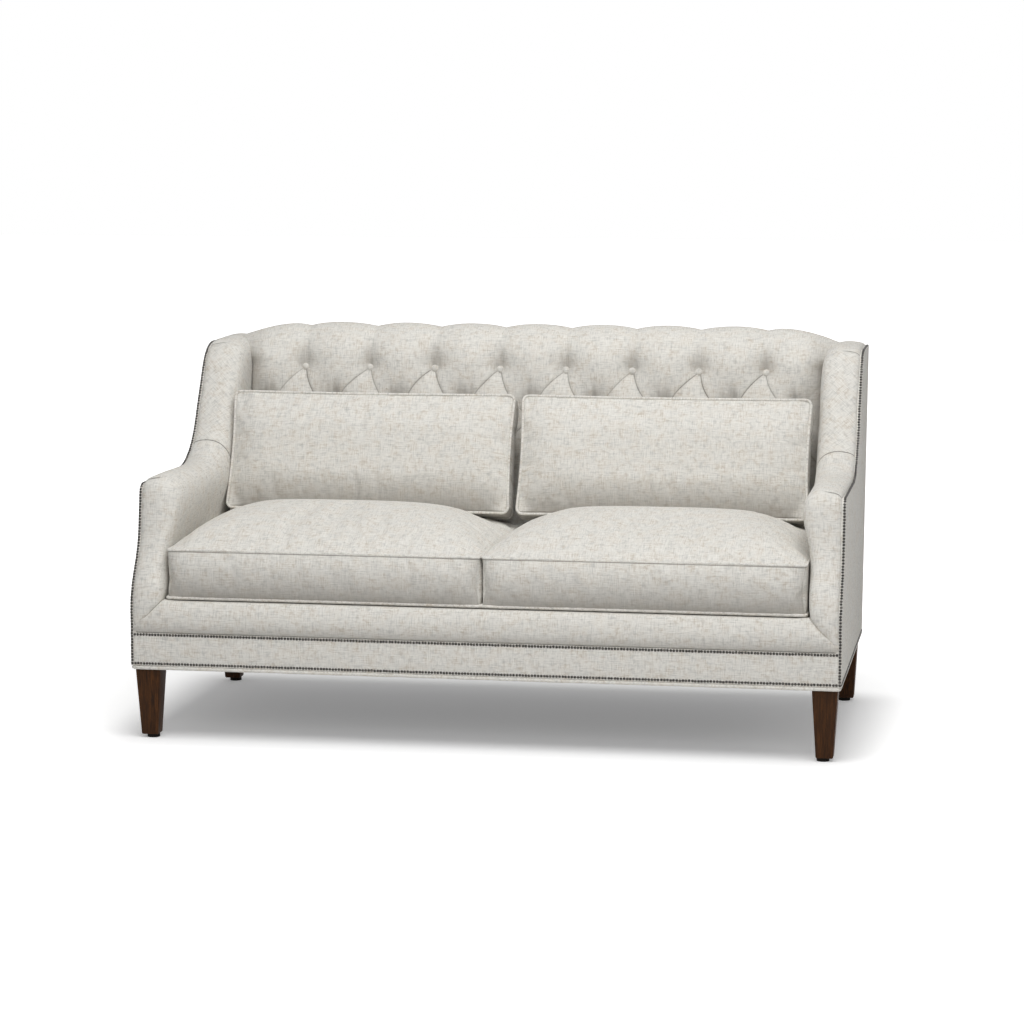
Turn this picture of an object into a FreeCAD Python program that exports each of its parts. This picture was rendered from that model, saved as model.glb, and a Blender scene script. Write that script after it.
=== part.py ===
import FreeCAD, Part
import Sketcher
import math
import os
import re

V = FreeCAD.Vector

doc = FreeCAD.newDocument("settee")
sheet = doc.addObject("Spreadsheet::Sheet", "sizes")

# Driving dimensions in millimetres, angles in degrees.
# "From the front" means behind the flat front face of the lower band.
SIZES = (
    ("body_width", 1680, "across the two outside arm panels"),
    ("arm_thick", 76, "each arm, from its outside face to the seat cushions"),
    ("wing_thick", 102, "each wing, from its outside face to the buttoned back"),
    ("base_height", 178, "floor to the underside of the covered body"),
    ("band_top", 258, "floor to the top of the lower front band"),
    ("deck_height", 335, "floor to the padded deck"),
    ("arm_height", 603, "floor to the top edge of the arm panels"),
    ("wing_height", 898, "floor to the top edge of the wings"),
    ("back_height", 948, "floor to the top scallops of the back"),
    ("base_depth", 800, "front face to rear face at the underside"),
    ("top_set_back", 120, "how far the rear face leans back at wing height"),
    ("border_crown", 9, "how far the front border bulges"),
    ("sweep_start", 310, "floor to where the arm front starts to sweep back"),
    ("sweep_radius", 150, "first bend of the arm front"),
    ("sweep_angle", 32, "steepest lean of the arm front"),
    ("sweep_run", 47, "straight stretch at that lean"),
    ("hollow_radius", 190, "second bend of the arm front, hollow"),
    ("neck_angle", 9, "lean of the arm front below its nose"),
    ("nose_radius", 26, "round at the front of the arm's top"),
    ("arm_top_end", 400, "from the front to where the wing starts to rise"),
    ("rise_radius", 196, "hollow bend from arm to wing"),
    ("rise_angle", 60, "slope of the wing's front edge"),
    ("wing_radius", 112, "round at the top of the wing"),
    ("outer_panel", 12, "thickness of the outside panels"),
    ("side_board", 18, "thickness of the side boards"),
    ("pad_crown", 11, "how far the arm pad swells forward of the panel's edge"),
    ("pad_rise", 11, "how much more it swells up on the arm"),
    ("wing_rise", 3, "how much more it swells up on the wing"),
    ("wing_overhang_low", 462, "floor to where the arm pad starts to thicken"),
    ("wing_overhang_high", 560, "floor to where the arm pad is full"),
    ("post_width", 34, "thickness of the posts and side rails"),
    ("post_depth", 50, "front to back of the front posts"),
    ("back_post_depth", 40, "front to back of the back posts"),
    ("rail_thick", 28, "thickness of the front and back seat rails"),
    ("rail_height", 120, "height of the seat rails"),
    ("rail_front", 16, "from the front to the front rail"),
    ("cover_thick", 2, "thickness of the dust cover and the leg plates"),
    ("centre_rail_width", 45, "centre seat rail"),
    ("centre_rail_height", 55, "centre seat rail"),
    ("block_leg", 85, "leg of each corner block's triangle"),
    ("block_height", 60, "corner blocks"),
    ("arm_post_start", 112, "from the front to the arm posts"),
    ("arm_post_depth", 40, "front to back of the arm posts"),
    ("arm_rail_height", 30, "arm rails"),
    ("arm_rail_drop", 18, "arm panel's top edge down to the arm rails"),
    ("back_rail_thick", 32, "thickness of the back frame's rails"),
    ("back_rail_height", 42, "height of the back frame's rails"),
    ("back_rail_drop", 14, "wing's top edge down to the back top rail"),
    ("lower_rail_lift", 12, "deck up to the back lower rail"),
    ("centre_post_width", 40, "back centre post"),
    ("strap_width", 50, "webbing strap"),
    ("strap_thick", 2, "webbing strap"),
    ("strap_count", 8, "webbing straps"),
    ("wire_radius", 1.7, "seat spring wire"),
    ("tie_radius", 1.2, "tie wire"),
    ("spring_count", 9, "seat springs"),
    ("spring_cross", 34, "straight cross run of a seat spring"),
    ("spring_bend", 13, "bend radius of a seat spring"),
    ("clip_length", 26, "spring clip"),
    ("clip_width", 14, "spring clip"),
    ("pitches_across", 8.68, "spacings of the back's buttons from wing to wing"),
    ("button_row_height", 836, "floor to the first row of buttons"),
    ("button_row_drop", 128, "between rows of buttons"),
    ("button_row_depth", 762, "from the front to the first row of buttons"),
    ("back_foot_depth", 640, "from the front to the back's face at the deck"),
    ("tuft_swell", 36, "how far the padding between buttons stands out"),
    ("button_diameter", 20, "covered buttons"),
    ("button_rise", 7, "covered buttons"),
    ("nail_radius", 4.2, "dome nails"),
    ("nail_rise", 2.6, "dome nails"),
    ("nail_pitch", 8.9, "between dome nails"),
    ("nail_lift", 6, "underside of the body up to the lowest nails"),
    ("welt_radius", 4, "welt cords"),
    ("leg_top", 60, "leg's square at the body"),
    ("leg_foot", 40, "leg's square at the floor"),
    ("leg_inset", 39, "body's outside faces to the leg's centre"),
    ("rear_leg_rake", 26, "how far the rear legs lean back"),
    ("glide_radius", 15, "glides under the legs"),
    ("glide_height", 8, "glides under the legs"),
    ("plate_side", 40, "leg plates"),
    ("bolt_radius", 4, "hanger bolts"),
    ("bolt_length", 64, "hanger bolts"),
    ("welt_bite", 1, "how far the cloth reaches past the middle of a welt"),
    ("soft_gap", 0.4, "clearance round the loose cushions"),
    ("cushion_front", 18, "from the front to the seat cushions"),
    ("cushion_depth", 607, "seat cushions"),
    ("cushion_box", 118, "seat cushion's border between its welts"),
    ("cushion_crown", 92, "how far the seat cushion rises above its border"),
    ("cushion_corner", 12, "plan radius of the seat cushion's corners"),
    ("core_inset", 45, "seat cushion's border to its foam core"),
    ("core_height", 90, "foam core"),
    ("pillow_clearance", 10.5, "room beside each lumbar pillow when the pair is centred"),
    ("pillow_height", 308, "lumbar pillows"),
    ("pillow_box", 60, "lumbar pillow's border"),
    ("pillow_front_crown", 38, "swell of the pillow's face"),
    ("pillow_back_crown", 34, "swell of the pillow's back"),
    ("pillow_corner", 28, "radius of the pillow's corners"),
    ("pillow_gap", 27, "between the two pillows"),
    ("pillow_shift", 8, "how far the pair lies to the left"),
    ("pillow_back_room", 95.449, "from the swelled back of a pillow to the pleats, at its foot"),
    ("pillow_foot_height", 497, "floor to the pillow's lower edge"),
    ("pillow_lean", 20, "pillow's lean from upright"),
)
for row, (alias, value, note) in enumerate(SIZES, 1):
    sheet.set(f"A{row}", note)
    sheet.set(f"B{row}", str(value))
    sheet.setAlias(f"B{row}", alias)
doc.recompute()

# Places that follow from the sizes. x is from the centre line, y from the front, z from the floor.
PLACES = {
    "front": "-(base_depth + top_set_back - pad_crown) / 2",
    "side": "body_width / 2",
    "panel_in": "side - outer_panel",
    "board_in": "panel_in - side_board",
    "post_in": "board_in - post_width",
    "arm_in": "side - arm_thick",
    "wing_in": "side - wing_thick",
    "button_pitch": "2 * wing_in / pitches_across",
    "pillow_width": "wing_in - pillow_gap / 2 - pillow_clearance",
    "pleat_slope": "(button_row_depth - back_foot_depth) / (button_row_height - deck_height)",
    "pleats_at_pillow": "back_foot_depth + (pillow_foot_height - deck_height) * pleat_slope",
    "pillow_foot_depth": "pleats_at_pillow - pillow_back_room - pillow_back_crown - pillow_box",
    "rail_bottom": "base_height + cover_thick",
    "rail_top": "rail_bottom + rail_height",
    "lean": "top_set_back / (wing_height - base_height)",
    "panel_back": "base_depth - outer_panel",
    "spring_level": "rail_top + 2 * tie_radius + wire_radius",
    "deck_bottom": "spring_level + wire_radius",
    "deck_front": "rail_front + rail_thick",
    "cushion_bottom": "deck_height + soft_gap",
    "cushion_side": "arm_in - soft_gap - welt_radius",
    "leg_x": "side - leg_inset",
    "front_leg_y": "leg_inset",
    "rear_leg_y": "base_depth - leg_inset",
}


def expand(text):
    """Write places out in terms of the sheet's own cells."""
    def word(match):
        name = match.group(0)
        if name in PLACES:
            return "(" + expand(PLACES[name]) + ")"
        if any(name == alias for alias, _, _ in SIZES):
            return "sizes." + name
        return name
    return re.sub(r"[a-z_]+", word, text)


def at(text):
    """The value of an expression in sizes and places, as a plain number."""
    value = sheet.evalExpression(expand(text))
    return float(getattr(value, "Value", value))


def rear_face(height, inward=0.0):
    """Distance from the front to the leaning rear face at a height, less what lies inside it."""
    return at("base_depth") + (height - at("base_height")) * at("lean") - inward


def mirrored(low, high):
    """The same span on the left and on the right of the centre line."""
    return (("left", f"-({high})", f"-({low})"), ("right", low, high))


def bind_place(piece, x="0", y="0", z="0"):
    piece.setExpression("Placement.Base.x", expand(x))
    piece.setExpression("Placement.Base.y", expand(f"front + {y}"))
    piece.setExpression("Placement.Base.z", expand(z))


def box(label, x, y, z):
    """A straight timber or panel between two places along each axis."""
    piece = doc.addObject("Part::Box", label)
    piece.Label = label
    for prop, (low, high) in (("Length", x), ("Width", y), ("Height", z)):
        piece.setExpression(prop, expand(f"({high}) - ({low})"))
    bind_place(piece, x[0], y[0], z[0])
    return piece


def place_name(kind):
    return {"DistanceX": "depth", "DistanceY": "height"}[kind]


def sawn(label, corners, x):
    """A timber with a straight-sided outline of (y, z) corners, padded sideways between two x places."""
    body = doc.addObject("PartDesign::Body", label)
    body.Label = label
    sketch = body.newObject("Sketcher::SketchObject", label + "_outline")
    plane = next(f for f in body.Origin.OriginFeatures if f.Role == "YZ_Plane")
    sketch.AttachmentSupport = [(plane, "")]
    sketch.MapMode = "FlatFace"
    points = [V(at(y), at(z), 0) for y, z in corners]
    for start, end in zip(points, points[1:] + points[:1]):
        sketch.addGeometry(Part.LineSegment(start, end), False)
    for index in range(len(points)):
        following = (index + 1) % len(points)
        sketch.addConstraint(Sketcher.Constraint("Coincident", index, 2, following, 1))
    for index, (y, z) in enumerate(corners):
        for kind, place, value in (("DistanceX", y, points[index].x), ("DistanceY", z, points[index].y)):
            number = sketch.addConstraint(Sketcher.Constraint(kind, -1, 1, index, 1, value))
            sketch.renameConstraint(number, f"corner_{index}_{place_name(kind)}")
            sketch.setExpression(f"Constraints.corner_{index}_{place_name(kind)}", expand(place))
    pad = body.newObject("PartDesign::Pad", label + "_pad")
    pad.Profile = sketch
    pad.setExpression("Length", expand(f"({x[1]}) - ({x[0]})"))
    sketch.Visibility = False
    bind_place(body, x[0])
    return body


def shaped(label, shape):
    """A piece whose form is worked out below from the same sizes; it is drawn from the front face."""
    piece = doc.addObject("Part::Feature", label)
    piece.Label = label
    moved = shape.Placement.toMatrix()
    still = shape.copy()
    still.Placement = FreeCAD.Placement()
    piece.Shape = still.transformed(moved, True)
    bind_place(piece)
    return piece


def cut_piece(label, base, tool):
    piece = doc.addObject("Part::Cut", label)
    piece.Label = label
    piece.Base = base
    piece.Tool = tool
    return piece


def in_place(piece):
    """A piece's shape, back in the frame that starts at the front face."""
    shape = piece.Shape.copy()
    shape.translate(V(0, -at("front"), 0))
    return shape


def prism(points, direction):
    return Part.Face(Part.makePolygon([V(*p) for p in points + points[:1]])).extrude(V(*direction))


# Seat frame. The back posts lean with the rear face.
def leaning(height, inward):
    """Place of a leaning face at a height, as an expression."""
    return f"panel_back - ({inward}) + ({height} - base_height) * lean"


def leaning_box(label, low, high, thick, x, inward="0"):
    """A timber between two heights whose front and back both lean with the rear face."""
    corners = (
        (leaning(low, f"{inward} + {thick}"), low),
        (leaning(low, inward), low),
        (leaning(high, inward), high),
        (leaning(high, f"{inward} + {thick}"), high),
    )
    return sawn(label, corners, x)


full_post = ("-post_in", "post_in")
box("front_rail", full_post, ("rail_front", "deck_front"), ("rail_bottom", "rail_top"))
box("back_rail", full_post, (leaning("rail_bottom", "rail_thick"), leaning("rail_bottom", "0")),
    ("rail_bottom", "rail_top"))
box("centre_rail", ("-centre_rail_width / 2", "centre_rail_width / 2"),
    ("deck_front", leaning("rail_bottom", "rail_thick")),
    ("rail_bottom", "rail_bottom + centre_rail_height"))
frame = {}
for hand, low, high in mirrored("post_in", "board_in"):
    post_end = "rail_front + post_depth"
    frame[hand] = [
        box(f"front_post_blank_{hand}", (low, high), ("rail_front", post_end), ("rail_bottom", "rail_top")),
        sawn(f"side_rail_{hand}",
             ((post_end, "rail_bottom"), (leaning("rail_bottom", "back_post_depth"), "rail_bottom"),
              (leaning("rail_top", "back_post_depth"), "rail_top"), (post_end, "rail_top")), (low, high)),
        leaning_box(f"back_post_blank_{hand}", "rail_bottom", "wing_height - back_rail_drop",
                    "back_post_depth", (low, high)),
    ]
    rail_low = "arm_height - arm_rail_drop - arm_rail_height"
    rail_high = "arm_height - arm_rail_drop"
    frame[hand] += [
        box(f"arm_post_{hand}", (low, high), ("arm_post_start", "arm_post_start + arm_post_depth"),
            ("rail_top", rail_low)),
        sawn(f"arm_rail_{hand}",
             (("arm_post_start", rail_low), (leaning(rail_low, "back_post_depth"), rail_low),
              (leaning(rail_high, "back_post_depth"), rail_high), ("arm_post_start", rail_high)),
             (low, high)),
    ]
top_low = "wing_height - back_rail_drop - back_rail_height"
top_high = "wing_height - back_rail_drop"
lower_low = "deck_height + lower_rail_lift"
lower_high = "deck_height + lower_rail_lift + back_rail_height"
leaning_box("back_top_rail", top_low, top_high, "back_rail_thick", full_post)
leaning_box("back_lower_rail", lower_low, lower_high, "back_rail_thick", full_post)
leaning_box("back_centre_post", lower_high, top_low, "back_rail_thick",
            ("-centre_post_width / 2", "centre_post_width / 2"))
doc.recompute()

# Side boards and outside panels, sawn to the outline of the arm and wing.
SWEEP = math.radians(at("sweep_angle"))
NECK = math.radians(at("neck_angle"))
RISE = math.radians(at("rise_angle"))


def arm_strokes():
    """The arm's edge from the underside at the front to the rear, as (length, radius, turn) strokes."""
    neck_low = (at("sweep_start") + at("sweep_radius") * math.sin(SWEEP) + at("sweep_run") * math.cos(SWEEP)
                + at("hollow_radius") * (math.sin(SWEEP) - math.sin(NECK)))
    neck_high = at("arm_height") - at("nose_radius") * (1 - math.sin(NECK))
    nose = math.pi / 2 - NECK
    rise_low = at("arm_height") + at("rise_radius") * (1 - math.cos(RISE))
    rise_high = at("wing_height") - at("wing_radius") * (1 - math.cos(RISE))
    neck_run = (neck_high - neck_low) / math.cos(NECK)
    start_y = (at("sweep_radius") * (1 - math.cos(SWEEP)) + at("sweep_run") * math.sin(SWEEP)
               + at("hollow_radius") * (math.cos(NECK) - math.cos(SWEEP))
               + neck_run * math.sin(NECK) + at("nose_radius") * math.cos(NECK))
    top_y = (at("arm_top_end") + at("rise_radius") * math.sin(RISE)
             + (rise_high - rise_low) / math.tan(RISE) + at("wing_radius") * math.sin(RISE))
    return (
        (at("sweep_start") - at("base_height"), 0, 0),
        (0, at("sweep_radius"), SWEEP),
        (at("sweep_run"), 0, 0),
        (0, at("hollow_radius"), NECK - SWEEP),
        (neck_run, 0, 0),
        (0, at("nose_radius"), nose),
        (at("arm_top_end") - start_y, 0, 0),
        (0, at("rise_radius"), -RISE),
        ((rise_high - rise_low) / math.sin(RISE), 0, 0),
        (0, at("wing_radius"), RISE),
        (rear_face(at("wing_height"), at("outer_panel")) - top_y, 0, 0),
    )


# Places in that list of the upright at the front, the wing's slope and the wing's top.
SWEEP_FOOT, WING_SLOPE, WING_TOP = 0, 8, 10


def walk(offset, swell=0.0):
    """Yield each stroke of the arm's edge, moved out by an offset: start, heading, length, radius, turn.
    A swell lifts the arm and the wing as well."""
    heading = math.pi / 2
    y, z = -offset, at("base_height")
    for index, (length, radius, turn) in enumerate(arm_strokes()):
        if index == SWEEP_FOOT:
            length += swell * at("pad_rise")
        elif index == WING_SLOPE:
            length += swell * at("wing_rise - pad_rise") / math.sin(RISE)
        if turn:
            radius += offset if turn > 0 else -offset
        yield y, z, heading, length, radius, turn
        if turn:
            side = math.copysign(1, turn)
            y += side * radius * (math.sin(heading) - math.sin(heading - turn))
            z += side * radius * (math.cos(heading - turn) - math.cos(heading))
            heading -= turn
        else:
            y += length * math.cos(heading)
            z += length * math.sin(heading)


def along(stroke, distance):
    """Point and heading after a distance along one stroke."""
    y, z, heading, length, radius, turn = stroke
    if not turn:
        return y + distance * math.cos(heading), z + distance * math.sin(heading), heading
    side = math.copysign(1, turn)
    new = heading - side * distance / radius
    return (y + side * radius * (math.sin(heading) - math.sin(new)),
            z + side * radius * (math.cos(new) - math.cos(heading)), new)


def stroke_length(stroke):
    return abs(stroke[4] * stroke[5]) if stroke[5] else stroke[3]


def arm_wire(x, offset, bottom, inward, swell=0.0):
    """Closed outline of an arm and wing at one x, its edge moved out by an offset."""
    edges = []
    for index, stroke in enumerate(walk(offset, swell)):
        size = stroke_length(stroke)
        first = along(stroke, 0)
        last = along(stroke, size)
        if index == SWEEP_FOOT:
            first = (first[0], bottom, 0)
        if stroke[5]:
            middle = along(stroke, size / 2)
            edges.append(Part.Arc(V(x, *first[:2]), V(x, *middle[:2]), V(x, *last[:2])).toShape())
        else:
            if index == WING_TOP:
                last = (rear_face(last[1], inward), last[1], 0)
            edges.append(Part.makeLine(V(x, *first[:2]), V(x, *last[:2])))
        if index == SWEEP_FOOT:
            foot = first
    heel = V(x, rear_face(bottom, inward), bottom)
    edges.append(Part.makeLine(V(x, *last[:2]), heel))
    edges.append(Part.makeLine(heel, V(x, *foot[:2])))
    return Part.Wire(edges)


def arm_slab(x_low, x_high, offset, bottom, inward):
    return Part.Face(arm_wire(x_low, offset, bottom, inward)).extrude(V(x_high - x_low, 0, 0))


def flip(shape):
    return shape.mirror(V(0, 0, 0), V(1, 0, 0))


panel_right = arm_slab(at("panel_in"), at("side"), 0, at("base_height"), at("outer_panel"))
board_right = arm_slab(at("board_in"), at("panel_in"), -at("rail_front"), at("rail_bottom"),
                       at("outer_panel"))
shaped("outer_panel_right", panel_right)
shaped("outer_panel_left", flip(panel_right))
shaped("side_board_right", board_right)
shaped("side_board_left", flip(board_right))

# Inside arm and wing pads: sections of the same outline swell and round over towards the seat.
# Each station is a share of the way from the outside panel to the wing's inside face, and its swell.
PAD_STATIONS = ((0, 0), (0.1, 0.6), (0.28, 0.95), (0.5, 1), (0.72, 0.75), (0.9, 0), (1, -1.2))


def arm_pad():
    outside, inside = at("panel_in"), at("wing_in")
    sections = []
    for share, swell in PAD_STATIONS:
        x = outside + share * (inside - outside)
        sections.append(arm_wire(x, swell * at("pad_crown"), at("band_top"), at("outer_panel"), swell))
    pad = Part.makeLoft(sections, True, False)
    low, high = at("wing_overhang_low"), at("wing_overhang_high")
    mitre = at("deck_height") - (at("panel_in") - at("arm_in")) * (
        (at("deck_height") - at("band_top")) / (at("side") - at("arm_in")))
    far = 2 * at("base_depth")
    relief = prism([(at("panel_in") + 1, -far / 2, mitre - 1), (at("arm_in"), -far / 2, at("deck_height")),
                    (at("arm_in"), -far / 2, low), (inside, -far / 2, high),
                    (0, -far / 2, high), (0, -far / 2, 0), (at("panel_in") + 1, -far / 2, 0)], (0, far, 0))
    pad = pad.cut(relief)
    rails = [doc.getObject("back_top_rail"), doc.getObject("back_lower_rail")]
    return pad.cut([board_right] + [in_place(piece) for piece in frame["right"] + rails])


pad_right = arm_pad()
shaped("arm_pad_right", pad_right)
shaped("arm_pad_left", flip(pad_right))

# Lower band, mitred front border, outside back and dust cover.
box("lower_band", ("-panel_in", "panel_in"), ("0", "rail_front"), ("base_height", "band_top"))


def front_border():
    low, high = at("band_top"), at("deck_height")
    rail, top = at("rail_front"), at("deck_bottom")
    back, crown = at("deck_front"), at("border_crown")
    end = at("panel_in")
    arc = Part.Arc(V(-end, 0, low), V(-end, -crown, (low + high) / 2), V(-end, crown, high)).toShape()
    corners = [V(-end, crown, high), V(-end, back, high), V(-end, back, top), V(-end, rail, top),
               V(-end, rail, low), V(-end, 0, low)]
    lines = [Part.makeLine(a, b) for a, b in zip(corners, corners[1:])]
    bar = Part.Face(Part.Wire([arc] + lines)).extrude(V(2 * end, 0, 0))
    slope = (high - low) / (at("side") - at("arm_in"))
    reach = end + back
    for hand in (-1, 1):
        off = prism([(hand * at("arm_in"), -back, high), (hand * reach, -back, high),
                     (hand * reach, -back, high - (reach - at("arm_in")) * slope)], (0, 3 * back, 0))
        bar = bar.cut(off)
    return bar


shaped("front_border", front_border())
leaning_box("outside_back", "base_height", "wing_height", "outer_panel", ("-side", "side"), "-outer_panel")
cover = box("dust_cover_sheet", ("-board_in", "board_in"), ("rail_front", "panel_back"),
            ("base_height", "rail_bottom"))
notches = doc.addObject("Part::MultiFuse", "leg_notches")
notch_boxes = []
for hand, low, high in mirrored("post_in", "board_in"):
    for end, y_low, y_high in (("front", "0", "rail_front + post_depth"),
                               ("rear", "rear_leg_y - plate_side / 2 - cover_thick", "base_depth")):
        notch_boxes.append(box(f"notch_{end}_{hand}", (low, high), (y_low, y_high), ("0", "rail_top")))
notches.Shapes = notch_boxes
cut_piece("dust_cover", cover, notches)

# Glue blocks in the inner corners of the seat frame.


def corner_blocks():
    leg, x = at("block_leg"), at("post_in")
    front, back = at("deck_front"), at(leaning("rail_bottom", "rail_thick"))
    blocks = []
    for hand in (-1, 1):
        for y, way in ((front, 1), (back, -1)):
            corner = [(hand * x, y, at("rail_bottom")), (hand * (x - leg), y, at("rail_bottom")),
                      (hand * x, y + way * leg, at("rail_bottom"))]
            blocks.append(prism(corner, (0, 0, at("block_height"))))
    return Part.makeCompound(blocks)


shaped("corner_blocks", corner_blocks())

# Seat springs: flat zigzags of wire from the front rail to the back rail, clipped at both ends.


def spring_path(x, y_low, y_high, z):
    """A zigzag of cross runs joined by half turns, each made of two quarter arcs."""
    half, bend = at("spring_cross") / 2, at("spring_bend")
    turns = int(round((y_high - y_low) / (2 * bend)))
    rise = (y_high - y_low) / turns / 2
    edges = []
    y, hand = y_low, 1
    edges.append(Part.makeLine(V(x - half, y, z), V(x + half, y, z)))
    for _ in range(turns):
        out = x + hand * half
        tip = V(out + hand * bend, y + rise, z)
        corner = math.sqrt(0.5)
        first = V(out + hand * bend * corner, y + rise * (1 - corner), z)
        second = V(out + hand * bend * corner, y + rise * (1 + corner), z)
        edges.append(Part.Arc(V(out, y, z), first, tip).toShape())
        edges.append(Part.Arc(tip, second, V(out, y + 2 * rise, z)).toShape())
        y += 2 * rise
        edges.append(Part.makeLine(V(out, y, z), V(x - hand * half, y, z)))
        hand = -hand
    return Part.Wire(edges)


def wire_along(path, radius):
    start = path.Edges[0]
    ring = Part.Wire(Part.makeCircle(radius, start.valueAt(start.FirstParameter),
                                     start.tangentAt(start.FirstParameter)))
    return path.makePipeShell([ring], True, False)


spring_front = at("rail_front") + at("rail_thick") / 2
spring_back = at(leaning("rail_bottom", "rail_thick / 2"))
spring_count = int(at("spring_count"))
spring_pitch = 2 * at("post_in") / spring_count
spring_places = [(i - (spring_count - 1) / 2) * spring_pitch for i in range(spring_count)]
one_spring = wire_along(spring_path(0, spring_front, spring_back, at("spring_level")), at("wire_radius"))
springs = Part.makeCompound([one_spring.translated(V(x, 0, 0)) for x in spring_places])
shaped("seat_springs", springs)


def spring_clips():
    """Clips on the rails that hold each spring's end runs a little past their middle."""
    wire, level = at("wire_radius"), at("spring_level")
    long, wide = at("clip_length"), at("clip_width")
    tall = level + wire / 2 - at("rail_top")
    clips = []
    for x in spring_places:
        for y in (spring_front, spring_back):
            clip = Part.makeBox(long, wide, tall, V(x - long / 2, y - wide / 2, at("rail_top")))
            clips.append(clip.cut(Part.makeCylinder(wire, 2 * long, V(x - long, y, level), V(1, 0, 0))))
    return Part.makeCompound(clips)


shaped("spring_clips", spring_clips())
tie_level = at("rail_top") + at("tie_radius")
tie_span = at("post_in") + at("post_width") / 2
ties = []
for share in (0.36, 0.64):
    tie_start = V(-tie_span, spring_front + share * (spring_back - spring_front), tie_level)
    ties.append(Part.makeCylinder(at("tie_radius"), 2 * tie_span, tie_start, V(1, 0, 0)))
shaped("tie_wires", Part.makeCompound(ties))
box("seat_deck", ("-arm_in", "arm_in"), ("deck_front", leaning("rail_top", "back_post_depth")),
    ("deck_bottom", "deck_height"))

# Webbing straps up the front of the back frame.


def webbing():
    low, high = at(lower_low), at(top_high)
    inner = at("outer_panel") + at("back_rail_thick")
    outer = inner + at("strap_thick")
    count = int(at("strap_count"))
    straps = []
    for i in range(count):
        x = (i - (count - 1) / 2) * 2 * at("wing_in") / count - at("strap_width") / 2
        straps.append(prism([(x, rear_face(low, outer), low), (x, rear_face(low, inner), low),
                             (x, rear_face(high, inner), high), (x, rear_face(high, outer), high)],
                            (at("strap_width"), 0, 0)))
    return Part.makeCompound(straps)


shaped("back_webbing", webbing())

# Deep-buttoned back. Every section has the same arcs: one between the two pleats that leave each
# button of the first row, one between neighbouring buttons, and one at each end.
ROWS = 3
UPPER_BUTTONS = 8
STEPS_PER_ROW = 4
PLEAT_BULGE = 1
OVER_RAIL = 1
TOP_SLOPE = 1.4
SCALLOP_RISE = 9
# The roll over the top rail: each section's reach towards the front and rise towards the crest, as
# shares; its swell, as a share of the buttons' rows; and how far its ends drop beside the wings.
TOP_ROLL = ((0.62, 0.45, 0.95, 12), (0.3, 0.9, 0.6, 22), (0.12, 1, 0.35, 26), (0, 0.75, 0.2, 26))
FIRST_DROP = 6


def row_height(row):
    return at("button_row_height") - row * at("button_row_drop")


def valley(height):
    """Distance from the front to the pleats at a height."""
    return at("back_foot_depth") + (height - at("deck_height")) * at("pleat_slope")


def button_x(row):
    count = UPPER_BUTTONS + row % 2
    return [(i - (count - 1) / 2) * at("button_pitch") for i in range(count)]


def tufted_wire(spread, swell, near, far, end_drop=0.0):
    """One closed section. near and far are (y, z) on the pleats and on the rear plane."""
    pitch, seat = at("button_pitch"), at("button_diameter") + 2 * PLEAT_BULGE
    half_split = max(seat, min(pitch - seat, spread * pitch)) / 2
    way = V(0, near[0] - far[0], near[1] - far[1])
    thick = way.Length
    way.normalize()
    rear = V(0, far[0], far[1])
    side = at("wing_in")
    places = [-side]
    for x in button_x(0):
        places += [x - half_split, x + half_split]
    places.append(side)
    edges = []
    for left, right in zip(places, places[1:]):
        width = right - left
        at_button = width < seat + PLEAT_BULGE
        bulge = PLEAT_BULGE if at_button else PLEAT_BULGE + swell * min(1.0, width / pitch)
        ends = []
        for x in (left, right):
            short = end_drop if x in (-side, side) else 0
            ends.append(rear + way * (thick - short) + V(x, 0, 0))
        middle = (ends[0] + ends[1]) / 2 + way * bulge
        edges.append(Part.Arc(ends[0], middle, ends[1]).toShape())
    first, last = edges[0].Vertexes[0].Point, edges[-1].Vertexes[-1].Point
    edges.append(Part.makeLine(last, rear + V(side, 0, 0)))
    edges.append(Part.makeLine(rear + V(side, 0, 0), rear - V(side, 0, 0)))
    edges.append(Part.makeLine(rear - V(side, 0, 0), first))
    return Part.Wire(edges)


def tufted_back():
    swell = at("tuft_swell")
    inner = at("outer_panel + back_rail_thick + strap_thick")
    wires = []

    def level(height, spread, amount):
        near, far = (valley(height), height), (rear_face(height, inner), height)
        wires.append(tufted_wire(spread, amount, near, far))

    bottom_row = row_height(ROWS - 1)
    level(at("deck_height"), 0, 0.2 * swell)
    level((at("deck_height") + bottom_row) / 2, 0, 0.6 * swell)
    for row in range(ROWS - 1, 0, -1):
        for step in range(STEPS_PER_ROW):
            share = step / STEPS_PER_ROW
            spread = share if row % 2 == 0 else 1 - share
            level(row_height(row) + share * at("button_row_drop"), spread, swell)
    level(row_height(0), 0, swell)
    over = at(top_high) + OVER_RAIL
    edge = valley(row_height(0)) + (over - row_height(0)) * at("lean") * TOP_SLOPE
    wires.append(tufted_wire(0, swell, (edge, over), (rear_face(over, inner), over), FIRST_DROP))
    crest = at("back_height") - SCALLOP_RISE
    panel = at("outer_panel") + OVER_RAIL
    for index, (forward, up, amount, drop) in enumerate(TOP_ROLL, 1):
        foot_z = over + (3 * index - 2) * OVER_RAIL
        foot_y = rear_face(foot_z, panel)
        near = (foot_y + forward * (edge - foot_y), over + up * (crest - over))
        wires.append(tufted_wire(0, amount * swell, near, (foot_y, foot_z), drop))
    return Part.makeLoft(wires, True, True)


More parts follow.
